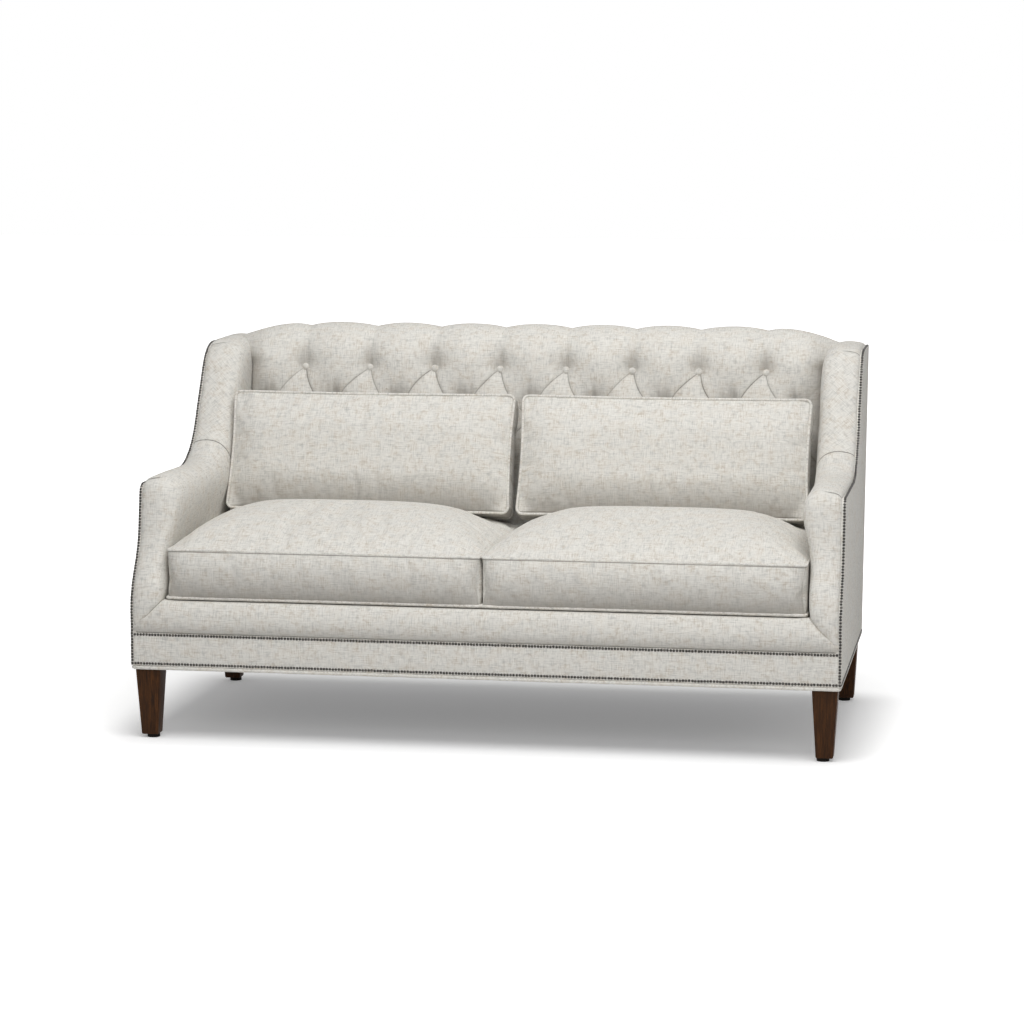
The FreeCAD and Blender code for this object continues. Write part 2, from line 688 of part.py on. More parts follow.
def dome(radius, rim, rise):
    """A spherical cap on a cylindrical rim, its flat back at the origin and its crown up."""
    ball = (radius ** 2 + rise ** 2) / (2 * rise)
    middle = math.asin(radius / ball) / 2
    shoulder = V(ball * math.sin(middle), 0, rim + rise - ball * (1 - math.cos(middle)))
    crown = V(0, 0, rim + rise)
    corners = [crown, V(0, 0, 0), V(radius, 0, 0)]
    if rim:
        corners.append(V(radius, 0, rim))
    outline = [Part.makeLine(start, end) for start, end in zip(corners, corners[1:])]
    outline.append(Part.Arc(corners[-1], shoulder, crown).toShape())
    return Part.Face(Part.Wire(outline)).revolve(V(0, 0, 0), V(0, 0, 1), 360)


def button(x, y, z, slope):
    """A covered button, facing forward and a little up."""
    cap = dome(at("button_diameter") / 2, at("button_rise") / 2, at("button_rise") / 2)
    cap.rotate(V(0, 0, 0), V(1, 0, 0), 90 - math.degrees(math.atan(slope)))
    cap.translate(V(x, y, z))
    return cap


back_slope = valley(1) - valley(0)
buttons = []
for row in range(ROWS):
    height = row_height(row)
    for x in button_x(row):
        buttons.append(button(x, valley(height) + PLEAT_BULGE, height, back_slope))
shaped("back_buttons", Part.makeCompound(buttons))
shaped("tufted_back", tufted_back().cut(buttons))

# Dome nails, head to head.
one_nail = dome(at("nail_radius"), 0, at("nail_rise"))


def nail_at(point, facing):
    """A nail with its flat back at a point, facing a direction."""
    head = one_nail.copy()
    head.Placement = FreeCAD.Placement(point, FreeCAD.Rotation(V(0, 0, 1), facing))
    return head


nail_x = at("side - outer_panel / 2")
lowest = at("base_height + nail_lift")
upper_row = at("band_top") - at("nail_radius") - 0.3


def front_nails():
    reach = nail_x - at("nail_pitch")
    count = int(2 * reach // at("nail_pitch"))
    heads = []
    for height in (lowest, upper_row):
        for i in range(count + 1):
            heads.append(nail_at(V(-reach + 2 * reach * i / count, 0, height), V(0, -1, 0)))
    return Part.makeCompound(heads)


def arm_nails():
    """Nails at an even pitch up the arm's front edge, over the arm and up the wing. Each stands off by
    the little that its flat back needs where the edge is hollow."""
    heads = []
    pitch = at("nail_pitch")
    lift = at("nail_radius") ** 2 / min(at("hollow_radius"), at("rise_radius"))
    ahead = lowest - at("base_height")
    for stroke in walk(0):
        size = stroke_length(stroke)
        while ahead <= size:
            y, z, heading = along(stroke, ahead)
            if y < rear_face(z, at("outer_panel")) - pitch / 2:
                facing = V(0, -math.sin(heading), math.cos(heading))
                heads.append(nail_at(V(nail_x, y, z) + facing * lift, facing))
            ahead += pitch
        ahead -= size
    return Part.makeCompound(heads)


def side_nails():
    reach = rear_face(lowest, at("outer_panel")) - 2 * at("nail_pitch")
    count = int(reach // at("nail_pitch"))
    heads = [nail_at(V(at("side"), at("nail_pitch") * (i + 1), lowest), V(1, 0, 0)) for i in range(count)]
    return Part.makeCompound(heads)


shaped("front_nails", front_nails())
nails_up_arm = arm_nails()
shaped("arm_nails_right", nails_up_arm)
shaped("arm_nails_left", flip(nails_up_arm))
nails_on_side = side_nails()
shaped("side_nails_right", nails_on_side)
shaped("side_nails_left", flip(nails_on_side))

# Welt cords.


def welt(width, length, corner, radius):
    """A cord round a flat rounded rectangle centred on the origin, in the plane z = 0."""
    half_x, half_y = width / 2, length / 2
    tip = corner * (1 - math.sqrt(0.5))
    path = []
    for sx, sy in ((1, 1), (-1, 1), (-1, -1), (1, -1)):
        ends = [V(sx * half_x, sy * (half_y - corner), 0), V(sx * (half_x - corner), sy * half_y, 0)]
        if sx != sy:
            ends.reverse()
        if path:
            path.append(Part.makeLine(path[-1].valueAt(path[-1].LastParameter), ends[0]))
        path.append(Part.Arc(ends[0], V(sx * (half_x - tip), sy * (half_y - tip), 0), ends[1]).toShape())
    path.append(Part.makeLine(path[-1].valueAt(path[-1].LastParameter), V(half_x, half_y - corner, 0)))
    return wire_along(Part.Wire(path[1:] + path[:1]), radius)


def base_welt():
    radius = at("welt_radius")
    cord = welt(at("body_width") - 2 * radius, at("base_depth") - 2 * radius, 2 * radius, radius)
    return cord.translated(V(0, at("base_depth") / 2, at("base_height") - radius))


shaped("base_welt", base_welt())

# Legs: tapered squares under the corners, each on a glide and drawn up to a plate by a hanger bolt.
glides, bolts, plates = [], [], []


def bore(label, x, y, low):
    """A hole for a hanger bolt, half in the leg and half in the post above it."""
    hole = doc.addObject("Part::Cylinder", label)
    hole.setExpression("Radius", expand("bolt_radius"))
    hole.setExpression("Height", expand("bolt_length"))
    bind_place(hole, x, y, low)
    return hole


def leg_blank(label, x, y, rake):
    leg = doc.addObject("Part::Wedge", label)
    for prop, size in (("Xmin", "-leg_foot / 2"), ("Xmax", "leg_foot / 2"),
                       ("Zmin", f"-leg_foot / 2 - {rake}"), ("Zmax", f"leg_foot / 2 - {rake}"),
                       ("Ymin", "0"), ("Ymax", "base_height - glide_height"),
                       ("X2min", "-leg_top / 2"), ("X2max", "leg_top / 2"),
                       ("Z2min", "-leg_top / 2"), ("Z2max", "leg_top / 2")):
        leg.setExpression(prop, expand(size))
    leg.Placement.Rotation = FreeCAD.Rotation(V(1, 0, 0), 90)
    bind_place(leg, x, y, "glide_height")
    return leg


bolt_foot = "base_height - bolt_length / 2"
for hand, sign in (("left", "-1"), ("right", "1")):
    for end, y, rake in (("front", "front_leg_y", "0"), ("rear", "rear_leg_y", "rear_leg_rake")):
        name = f"{end}_{hand}"
        x = f"{sign} * leg_x"
        blank = leg_blank(f"leg_blank_{name}", x, y, rake)
        cut_piece(f"leg_{name}", blank, bore(f"leg_bore_{name}", x, y, bolt_foot))
        post_label = {"front": "front_post", "rear": "back_post"}[end]
        post = doc.getObject(f"{post_label}_blank_{hand}")
        cut_piece(f"{post_label}_{hand}", post, bore(f"post_bore_{name}", x, y, bolt_foot))
        centre = V(at(x), at(y), 0)
        glides.append(Part.makeCylinder(at("glide_radius"), at("glide_height"), centre + V(0, at(rake), 0)))
        bolt = Part.makeCylinder(at("bolt_radius"), at("bolt_length"), centre + V(0, 0, at(bolt_foot)))
        bolts.append(bolt)
        side = at("plate_side")
        plate_corner = centre + V(-side / 2, -side / 2, at("base_height"))
        plate = Part.makeBox(side, side, at("cover_thick"), plate_corner)
        plates.append(plate.cut(bolt))
shaped("leg_glides", Part.makeCompound(glides))
shaped("hanger_bolts", Part.makeCompound(bolts))
shaped("leg_plates", Part.makeCompound(plates))

# Boxed cushions. Each is a ruled loft of flat sections across its length. A section has a border
# drawn in between its two welts, and three arcs over each crowned face.
SEAT_DRAW, SEAT_SHOULDER = 4, 110
PILLOW_DRAW, PILLOW_SHOULDER = 3, 90
SEAT_CREST = 0.46


def crown_arcs(half, y, level, crown, shoulder, full_crown):
    """Three arcs over a crowned face, from its right edge to its left. A negative crown faces down."""
    flat, swell = 0.8 * crown, 0.12 * shoulder * crown / full_crown
    right, left = V(half, y, level), V(-half, y, level)
    right_shoulder, left_shoulder = V(half - shoulder, y, level + flat), V(shoulder - half, y, level + flat)
    lift = V(0, 0, math.copysign(swell, crown))
    lean = V(abs(swell) / 2, 0, 0)
    return [
        Part.Arc(right, (right + right_shoulder) / 2 + lift + lean, right_shoulder).toShape(),
        Part.Arc(right_shoulder, V(0, y, level + crown), left_shoulder).toShape(),
        Part.Arc(left_shoulder, (left + left_shoulder) / 2 + lift - lean, left).toShape(),
    ]


def section(half, y, border, draw, shoulder, top, bottom, full_top, full_bottom):
    """A closed section: top face, left border, bottom face, right border."""
    right_border = Part.Arc(V(half, y, 0), V(half - draw, y, border / 2), V(half, y, border)).toShape()
    left_border = Part.Arc(V(-half, y, border), V(draw - half, y, border / 2), V(-half, y, 0)).toShape()
    edges = crown_arcs(half, y, border, top, shoulder, full_top) + [left_border]
    if bottom:
        under = crown_arcs(half, y, 0, -bottom, shoulder, full_bottom)
        for edge in reversed(under):
            edge.reverse()
            edges.append(edge)
    else:
        edges.append(Part.makeLine(V(-half, y, 0), V(half, y, 0)))
    return Part.Wire(edges + [right_border])


def rounded_half(half, corner, distance):
    """Half width of a rounded rectangle at a distance from its end."""
    if distance >= corner:
        return half
    return half - corner + math.sqrt(corner ** 2 - (corner - distance) ** 2)


def end_steps(corner):
    return [corner * (1 - math.cos(math.radians(angle))) for angle in (25, 50, 75)] + [corner]


def plan_steps(length, corner, inner):
    """Distances of the sections along a cushion: close together at its corners."""
    near = end_steps(corner)
    return near + inner + [length - step for step in reversed(near)]


cord = at("welt_radius")
bite = at("welt_bite")
LEAST_CROWN = 3.0


def seat_crown(y):
    """Rise of the seat cushion above its top welt: a full crown in front, pressed down under the pillow."""
    full = at("cushion_crown")
    seam = at("cushion_bottom + welt_bite + cushion_box")
    lean_slope = math.tan(math.radians(at("pillow_lean")))
    foot, foot_z = at("pillow_foot_depth"), at("pillow_foot_height")
    heel = foot + at("pillow_box") * math.cos(math.radians(at("pillow_lean")))
    crest = at("cushion_front") + SEAT_CREST * at("cushion_depth")
    rear = at("cushion_front + cushion_depth")

    def pressed(depth):
        return foot_z - (depth - foot) * lean_slope - at("soft_gap") - seam

    if y <= crest:
        share = (y - at("cushion_front")) / (crest - at("cushion_front"))
        rise = full * (1 - (1 - share) ** 2.4) ** 0.75
    elif y <= foot:
        share = (y - crest) / (foot - crest)
        rise = full + (pressed(foot) - full) * share ** 1.8
    elif y <= heel:
        rise = pressed(y)
    else:
        rise = pressed(heel) * (rear - y) / (rear - heel)
    return max(LEAST_CROWN, rise)


def seat_cushion():
    """The left seat cushion, its welts and its foam core, in the frame that starts at the front face."""
    width = at("arm_in - 2 * soft_gap")
    depth, border = at("cushion_depth"), at("cushion_box")
    front, bottom = at("cushion_front"), at("cushion_bottom")
    grown = cord - bite
    half, length = width / 2 - grown, depth - 2 * grown
    lean = math.radians(at("pillow_lean"))
    foot = at("pillow_foot_depth") - front - grown
    heel = foot + at("pillow_box") * math.cos(lean)
    crest = SEAT_CREST * depth
    inner = [crest * share for share in (0.12, 0.28, 0.5, 0.75, 1)]
    inner += [crest + (foot - crest) * share for share in (0.3, 0.6, 0.85)]
    inner += [foot, heel, heel + (length - heel) / 2]
    corner = at("cushion_corner")
    wires = []
    for step in plan_steps(length, corner, inner):
        y = front + grown + step
        part_half = rounded_half(half, corner, min(step, length - step))
        rise = seat_crown(y)
        wires.append(section(part_half, y, border, SEAT_DRAW, SEAT_SHOULDER, rise, 0,
                             at("cushion_crown"), 1))
    body = Part.makeLoft(wires, True, True)
    x = -at("arm_in") / 2
    ring = welt(width - 2 * cord, depth - 2 * cord, at("cushion_corner"), cord)
    rings = [ring.translated(V(x, front + depth / 2, bottom + level)) for level in (cord, bite + border)]
    inset, tall = at("core_inset"), at("core_height")
    core_corner = V(x - width / 2 + inset, front + inset, bottom + bite + (border - tall) / 2)
    core = Part.makeBox(width - 2 * inset, depth - 2 * inset, tall, core_corner)
    return body.translated(V(x, 0, bottom + bite)).cut(rings + [core]), Part.makeCompound(rings), core


cushion, cushion_rings, cushion_core = seat_cushion()
for hand, turn in (("left", lambda shape: shape), ("right", flip)):
    shaped(f"seat_cushion_{hand}", turn(cushion))
    shaped(f"seat_cushion_welts_{hand}", turn(cushion_rings))
    shaped(f"seat_cushion_core_{hand}", turn(cushion_core))


def pillow():
    """A lumbar pillow lying on its back round the origin, and its two welts."""
    width, height, border = at("pillow_width"), at("pillow_height"), at("pillow_box")
    grown = cord - bite
    half, length = width / 2 - grown, height - 2 * grown
    corner = at("pillow_corner")
    wires = []
    inner = [length * share for share in (0.2, 0.32, 0.5, 0.68, 0.8)]
    for step in plan_steps(length, corner, inner):
        share = 1 - abs(2 * step / length - 1) ** 2.6
        top = max(LEAST_CROWN, at("pillow_front_crown") * share ** 0.7)
        under = max(LEAST_CROWN, at("pillow_back_crown") * share ** 0.7)
        part_half = rounded_half(half, corner, min(step, length - step))
        wires.append(section(part_half, grown + step, border, PILLOW_DRAW, PILLOW_SHOULDER, top, under,
                             at("pillow_front_crown"), at("pillow_back_crown")))
    body = Part.makeLoft(wires, True, True)
    ring = welt(width - 2 * cord, height - 2 * cord, corner, cord)
    rings = [ring.translated(V(0, height / 2, level)) for level in (0, border)]
    return body.cut(rings), Part.makeCompound(rings)


def lean_back(shape, x):
    """Stand a pillow up on its lower edge, leaning back against the buttoned back."""
    turn = math.radians(90 - at("pillow_lean"))
    border = at("pillow_box")
    leaning_shape = shape.copy()
    leaning_shape.rotate(V(0, 0, 0), V(1, 0, 0), 90 - at("pillow_lean"))
    leaning_shape.translate(V(x, at("pillow_foot_depth") + border * math.sin(turn),
                              at("pillow_foot_height") - border * math.cos(turn)))
    return leaning_shape


pillow_body, pillow_rings = pillow()
for hand, sign in (("left", -1), ("right", 1)):
    x = sign * at("(pillow_gap + pillow_width) / 2") - at("pillow_shift")
    shaped(f"lumbar_pillow_{hand}", lean_back(pillow_body, x))
    shaped(f"pillow_welts_{hand}", lean_back(pillow_rings, x))

doc.recompute()
for piece in doc.Objects:
    if "Invalid" in piece.State or "Error" in piece.State:
        raise RuntimeError(f"{piece.Label} is {piece.State}")
pieces = [piece for piece in doc.RootObjects if hasattr(piece, "Shape")]
for piece in pieces:
    if piece.Shape.isNull() or not piece.Shape.isValid():
        raise RuntimeError(f"{piece.Label} has no valid shape")
    if any(solid.Volume <= 0 for solid in piece.Shape.Solids) or not piece.Shape.Solids:
        raise RuntimeError(f"{piece.Label} has no proper solid")

os.makedirs("parts", exist_ok=True)
for piece in pieces:
    piece.Shape.exportStep(f"parts/{piece.Label}.step")
print(len(pieces), "pieces written")
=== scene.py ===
import math
from contextlib import contextmanager

import bmesh
import bpy
import numpy as np
from bpy.props import FloatProperty, FloatVectorProperty, IntProperty, PointerProperty
from mathutils import Matrix, Vector


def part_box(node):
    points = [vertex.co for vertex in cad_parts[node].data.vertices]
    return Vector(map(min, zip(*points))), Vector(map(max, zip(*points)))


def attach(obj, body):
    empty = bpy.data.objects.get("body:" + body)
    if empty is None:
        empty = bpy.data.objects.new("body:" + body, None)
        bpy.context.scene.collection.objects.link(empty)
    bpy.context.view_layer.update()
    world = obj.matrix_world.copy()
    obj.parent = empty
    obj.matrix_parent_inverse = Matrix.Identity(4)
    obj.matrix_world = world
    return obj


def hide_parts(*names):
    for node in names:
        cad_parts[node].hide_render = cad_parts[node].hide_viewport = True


bl_info = {
    "name": "Button-Back Settee",
    "version": (1, 0, 0),
    "blender": (4, 5, 0),
    "location": "View3D > Sidebar > Settee",
    "description": "Dresses the frame of a winged, button-back settee: cloth, cushions, nails and legs",
    "category": "Add Mesh",
}

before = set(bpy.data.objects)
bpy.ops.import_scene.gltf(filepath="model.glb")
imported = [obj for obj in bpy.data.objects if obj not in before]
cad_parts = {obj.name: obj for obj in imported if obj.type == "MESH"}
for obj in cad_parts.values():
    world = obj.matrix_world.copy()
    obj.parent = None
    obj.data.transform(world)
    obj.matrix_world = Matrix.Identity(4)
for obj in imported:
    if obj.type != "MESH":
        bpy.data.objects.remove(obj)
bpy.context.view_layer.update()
BODY = "body"
HANDS = {"left": -1, "right": 1}
SIDE = max(corner.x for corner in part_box("outer_panel_right"))
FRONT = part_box("lower_band")[0].y
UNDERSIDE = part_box("lower_band")[0].z
PLUMP = 0.003  # the outside panels' cloth stands so far out of their boards
WRAP = 0.0085  # the front's cloth reaches so much further out, to the nails
MITRE_FULL = 0.0022  # how far the two sides of a mitre swell towards each other


# Sizes and colours a user may change


class SETTEE_PG_sizes(bpy.types.PropertyGroup):
    """Sizes of the dressed pieces, in metres."""

    tuft_pit: FloatProperty(name="Button depth", description="How deep each button sits in the back",
                            default=0.020, min=0.0, max=0.06, unit="LENGTH")
    tuft_puff: FloatProperty(name="Tuft swell", description="How far the cloth swells between two pleats",
                             default=0.019, min=0.0, max=0.05, unit="LENGTH")
    scallop: FloatProperty(name="Scallop rise", description="Rise of the top edge between two buttons",
                           default=0.010, min=0.0, max=0.03, unit="LENGTH")
    button_pitch: FloatProperty(name="Button pitch", description="Distance between two buttons of a row",
                                default=0.1702, min=0.1, max=0.3, unit="LENGTH")
    row_drop: FloatProperty(name="Row drop", description="Distance between two rows of buttons",
                            default=0.128, min=0.08, max=0.2, unit="LENGTH")
    seat_crown: FloatProperty(name="Seat crown", description="Rise of a seat cushion above its upper welt",
                              default=0.095, min=0.02, max=0.12, unit="LENGTH")
    pillow_crown: FloatProperty(name="Pillow crown", description="Swell of a lumbar pillow's face",
                                default=0.034, min=0.0, max=0.06, unit="LENGTH")
    pillow_lean: FloatProperty(name="Pillow lean", description="Lean of the lumbar pillows from upright",
                               default=math.radians(20), min=0.0, max=1.0, unit="ROTATION")
    nail_pitch: FloatProperty(name="Nail pitch", description="Distance between two dome nails",
                              default=0.0072, min=0.006, max=0.03, unit="LENGTH")
    nail_radius: FloatProperty(name="Nail radius", description="Radius of a dome nail's head",
                               default=0.0034, min=0.002, max=0.01, unit="LENGTH")
    welt_radius: FloatProperty(name="Welt radius", description="Radius of the covered cords",
                               default=0.0036, min=0.002, max=0.008, unit="LENGTH")
    nail_sides: IntProperty(name="Nail sides", description="Facets round a nail's head",
                            default=9, min=6, max=24)


class SETTEE_PG_colours(bpy.types.PropertyGroup):
    """Colours of the cloth, wood and metal."""

    cloth: FloatVectorProperty(name="Linen", description="Main colour of the tweed",
                               default=(0.735, 0.715, 0.665), subtype="COLOR", min=0, max=1)
    brown_slub: FloatVectorProperty(name="Brown slubs", description="Colour of the thick brown threads",
                                    default=(0.420, 0.345, 0.260), subtype="COLOR", min=0, max=1)
    grey_slub: FloatVectorProperty(name="Grey slubs", description="Colour of the thick grey threads",
                                   default=(0.400, 0.395, 0.375), subtype="COLOR", min=0, max=1)
    leg: FloatVectorProperty(name="Leg stain", description="Colour of the stained legs",
                             default=(0.044, 0.0165, 0.0046), subtype="COLOR", min=0, max=1)
    nail: FloatVectorProperty(name="Nail heads", description="Colour of the dark pewter nails",
                              default=(0.036, 0.033, 0.030), subtype="COLOR", min=0, max=1)
    timber: FloatVectorProperty(name="Frame timber", description="Colour of the hidden hardwood",
                                default=(0.50, 0.35, 0.20), subtype="COLOR", min=0, max=1)


# Modelling by hand


def deselect():
    if bpy.context.object and bpy.context.object.mode != "OBJECT":
        bpy.ops.object.mode_set(mode="OBJECT")
    bpy.ops.object.select_all(action="DESELECT")


def only(piece):
    deselect()
    piece.select_set(True)
    bpy.context.view_layer.objects.active = piece


@contextmanager
def editing(piece):
    """Edit mode on one piece, with all of it selected."""
    only(piece)
    bpy.ops.object.mode_set(mode="EDIT")
    bpy.ops.mesh.select_all(action="SELECT")
    yield
    bpy.ops.object.mode_set(mode="OBJECT")


def face_outwards():
    """In edit mode, turn every face of a closed piece outwards."""
    bpy.ops.mesh.select_all(action="SELECT")
    bpy.ops.mesh.normals_make_consistent(inside=False)


def read(items, key, kind=float):
    """One number for each point, face or corner of a mesh."""
    values = np.empty(len(items), kind)
    items.foreach_get(key, values)
    return values


def read_rows(items, key):
    """Three numbers for each point or face of a mesh."""
    values = np.empty(len(items) * 3)
    items.foreach_get(key, values)
    return values.reshape(-1, 3)


def points(piece):
    """The places of a piece's points, one row each."""
    return read_rows(piece.data.vertices, "co")


def put_points(piece, spots):
    piece.data.vertices.foreach_set("co", np.ascontiguousarray(spots, float).ravel())
    piece.data.update()


def normals(piece):
    return read_rows(piece.data.vertices, "normal")


def modify(piece, kind, **settings):
    """Add a modifier, set it and apply it."""
    only(piece)
    made = piece.modifiers.new(kind.lower(), kind)
    for name, value in settings.items():
        setattr(made, name, value)
    bpy.ops.object.modifier_apply(modifier=made.name)


def pick_faces(piece, wanted):
    """In edit mode, select the faces whose middle and normal pass a test."""
    bpy.ops.mesh.select_mode(type="FACE")
    bpy.ops.mesh.select_all(action="DESELECT")
    mesh = bmesh.from_edit_mesh(piece.data)
    for face in mesh.faces:
        face.select_set(bool(wanted(face.calc_center_median(), face.normal)))
    bmesh.update_edit_mesh(piece.data)


def pick_points(piece, wanted):
    """In edit mode, select the points that pass a test."""
    bpy.ops.mesh.select_mode(type="VERT")
    bpy.ops.mesh.select_all(action="DESELECT")
    mesh = bmesh.from_edit_mesh(piece.data)
    for point in mesh.verts:
        point.select_set(bool(wanted(point.co)))
    mesh.select_flush_mode()
    bmesh.update_edit_mesh(piece.data)


def block(name, low, high):
    """A box between two corners, settled at the origin."""
    deselect()
    low, high = Vector(low), Vector(high)
    bpy.ops.mesh.primitive_cube_add(size=1, location=(low + high) / 2)
    piece = bpy.context.object
    piece.name = piece.data.name = name
    piece.scale = high - low
    bpy.ops.object.transform_apply(location=True, rotation=True, scale=True)
    return piece


def squared_box(name, low, high, cuts):
    """A closed box of even squares: a flat grid raised layer by layer."""
    deselect()
    low, high = Vector(low), Vector(high)
    middle = (low + high) / 2
    bpy.ops.mesh.primitive_grid_add(x_subdivisions=cuts[0], y_subdivisions=cuts[1], size=1,
                                    location=(middle.x, middle.y, low.z))
    piece = bpy.context.object
    piece.name = piece.data.name = name
    piece.scale = (high.x - low.x, high.y - low.y, 1)
    bpy.ops.object.transform_apply(location=True, rotation=True, scale=True)
    layer = (0, 0, (high.z - low.z) / cuts[2])
    with editing(piece):
        for _ in range(cuts[2]):
            bpy.ops.mesh.extrude_region_move(TRANSFORM_OT_translate={"value": layer})
        face_outwards()
    in_order(piece)
    return piece


def in_order(piece):
    """Number points and faces by their place: the cloth solver answers to their order, which extruding
    leaves different in each run."""
    spots = points(piece)
    order = np.lexsort(spots.T)
    number = np.empty(len(order), int)
    number[order] = np.arange(len(order))
    faces = []
    for face in piece.data.polygons:
        corners = number[list(face.vertices)].tolist()
        first = corners.index(min(corners))
        faces.append(corners[first:] + corners[:first])
    piece.data.clear_geometry()
    piece.data.from_pydata(spots[order].tolist(), [], sorted(faces))


def copied(node, name):
    """A welded copy of a frame node's mesh, to dress in its place."""
    piece = bpy.data.objects.new(name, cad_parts[node].data.copy())
    bpy.context.scene.collection.objects.link(piece)
    piece.data.name = name
    only(piece)
    piece.data.materials.clear()
    if piece.data.has_custom_normals:
        bpy.ops.mesh.customdata_custom_splitnormals_clear()
    with editing(piece):
        bpy.ops.mesh.remove_doubles(threshold=1e-5)
        bpy.ops.mesh.normals_make_consistent(inside=False)
    return piece


def stuffed_copy(node, name, voxel, rounds):
    """A copy of a node's solid as an even skin with soft edges."""
    piece = copied(node, name)
    modify(piece, "REMESH", mode="VOXEL", voxel_size=voxel, adaptivity=0)
    modify(piece, "SMOOTH", factor=0.5, iterations=rounds)
    return piece


def joined(name, parts):
    only(parts[0])
    for part in parts[1:]:
        part.select_set(True)
    if len(parts) > 1:
        bpy.ops.object.join()
    piece = bpy.context.object
    piece.name = piece.data.name = name
    return piece


def cord(name, path, radius, closed=True, sides=5):
    """A covered cord along a line of points, as a mesh."""
    deselect()
    curve = bpy.data.curves.new(name, "CURVE")
    curve.dimensions = "3D"
    curve.bevel_depth = radius
    curve.bevel_resolution = sides
    line = curve.splines.new("POLY")
    line.points.add(len(path) - 1)
    line.points.foreach_set("co", np.hstack([path, np.ones((len(path), 1))]).ravel())
    line.use_cyclic_u = closed
    drawn = bpy.data.objects.new(name, curve)
    bpy.context.scene.collection.objects.link(drawn)
    only(drawn)
    bpy.ops.object.convert(target="MESH")
    return bpy.context.object


def rounded_ring(half_x, half_y, corner, spacing):
    """Points round a flat rounded rectangle about the origin, at an even spacing."""
    points_round = []
    quarter = max(4, int(corner * math.pi / 2 / spacing))
    for turn, (sx, sy) in enumerate(((1, 1), (-1, 1), (-1, -1), (1, -1))):
        centre = Vector((sx * (half_x - corner), sy * (half_y - corner)))
        for step in range(quarter + 1):
            angle = math.pi / 2 * (turn + step / quarter)
            points_round.append(centre + corner * Vector((math.cos(angle), math.sin(angle))))
    ring = []
    for start, end in zip(points_round, points_round[1:] + points_round[:1]):
        count = max(1, round((end - start).length / spacing))
        for step in range(count):
            ring.append(start.lerp(end, step / count))
    return np.array([(x, y, 0.0) for x, y in ring])


def smooth_noise(spots, size, seed):
    """Gentle, repeatable waves over space, about -1 to 1."""
    random = np.random.default_rng(seed)
    total = np.zeros(len(spots))
    for _ in range(7):
        way = random.normal(size=3)
        way /= np.linalg.norm(way)
        wave = 2 * math.pi / (size * random.uniform(0.7, 1.5))
        total += np.sin(spots @ way * wave + random.uniform(0, 2 * math.pi))
    return total / 3.5


def step_up(value, low, high):
    share = np.clip((value - low) / (high - low), 0, 1)
    return share * share * (3 - 2 * share)


def flat_weave(spots, facing, middles, corners):
    """Straight threads on each side of a piece, by the way that the side faces."""
    size = np.abs(facing)
    side = (size[:, 0] >= size[:, 1]) & (size[:, 0] > size[:, 2])
    top = (size[:, 2] > size[:, 1]) & ~side
    across = np.where(side, spots[:, 1], spots[:, 0])
    up = np.where(top, spots[:, 1], spots[:, 2])
    return np.stack([across, up], 1)


def lay_weave(piece, rule=flat_weave, seed=0):
    """Lay the cloth's threads on a piece, as a map in metres. A rule gives each face corner's place."""
    mesh = piece.data
    layer = mesh.uv_layers.new(name="weave")
    corners = read(mesh.loops, "vertex_index", int)
    sizes = read(mesh.polygons, "loop_total", int)
    facing = np.repeat(read_rows(mesh.polygons, "normal"), sizes, axis=0)
    middles = np.repeat(read_rows(mesh.polygons, "center"), sizes, axis=0)
    laid = rule(points(piece)[corners], facing, middles, corners)
    laid = laid + np.random.default_rng(seed).uniform(0, 5, 2)
    layer.data.foreach_set("uv", np.ascontiguousarray(laid, float).ravel())


def note_seam(piece, one, other, strength):
    """Keep each point's signed distances from two families of seams, and how plain they are: along them the
    cloth gets a painted dark crease line.
    """
    layer = piece.data.attributes.new("seam", "FLOAT_VECTOR", "POINT")
    kept = np.stack([one, other, strength], 1)
    layer.data.foreach_set("vector", kept.astype(np.float32).ravel())


def note_shade(piece, amount):
    """Keep each point's painted shade, from 0 to 1: how far the cloth's colour is darkened there, mostly in
    folds, creases and undercuts.
    """
    layer = piece.data.attributes.new("shade", "FLOAT", "POINT")
    layer.data.foreach_set("value", np.clip(amount, 0, 1).astype(np.float32))


def widened(spots):
    """Cloth wrapped round the outer edge, as far as the nails."""
    spots[:, 0] += np.sign(spots[:, 0]) * WRAP * step_up(np.abs(spots[:, 0]), 0.800, 0.828)
    return spots


def pulled(flat, half, sides, ends):
    """Draw the outline of a cushion in between its corners, by so much at the sides and at the ends."""
    share = flat / half
    flat[:, 0] -= np.sign(flat[:, 0]) * sides * np.abs(share[:, 0]) ** 8 * np.cos(share[:, 1] * 1.5)
    flat[:, 1] -= np.sign(flat[:, 1]) * ends * np.abs(share[:, 1]) ** 8 * np.cos(share[:, 0] * 1.5)
    return flat


def complete(piece, finish, body=BODY, stands_for=(), angle=None):
    """Give a piece its finish and its place in the frame."""
    only(piece)
    if angle is None:
        bpy.ops.object.shade_smooth()
    else:
        bpy.ops.object.shade_smooth_by_angle(angle=math.radians(angle))
    piece.data.materials.clear()
    piece.data.materials.append(finish)
    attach(piece, body)
    if stands_for:
        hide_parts(*stands_for)
    deselect()
    return piece


# Finishes


class Strand:
    """A socket of a finish, so that shader maths reads as an expression."""

    def __init__(self, finish, socket):
        self.finish, self.socket = finish, socket

    def maths(self, kind, *inputs):
        return self.finish.add("ShaderNodeMath", {"operation": kind}, dict(enumerate(inputs)))

    def __add__(self, other):
        return self.maths("ADD", self, other)

    def __sub__(self, other):
        return self.maths("SUBTRACT", self, other)

    def __rsub__(self, other):
        return self.maths("SUBTRACT", other, self)

    def __mul__(self, other):
        return self.maths("MULTIPLY", self, other)

    __radd__ = __add__
    __rmul__ = __mul__

    def size(self):
        return self.maths("ABSOLUTE", self)

    def sine(self):
        return self.maths("SINE", self)

    def also(self, name):
        """Another output of the node that this one comes from."""
        return Strand(self.finish, self.socket.node.outputs[name])


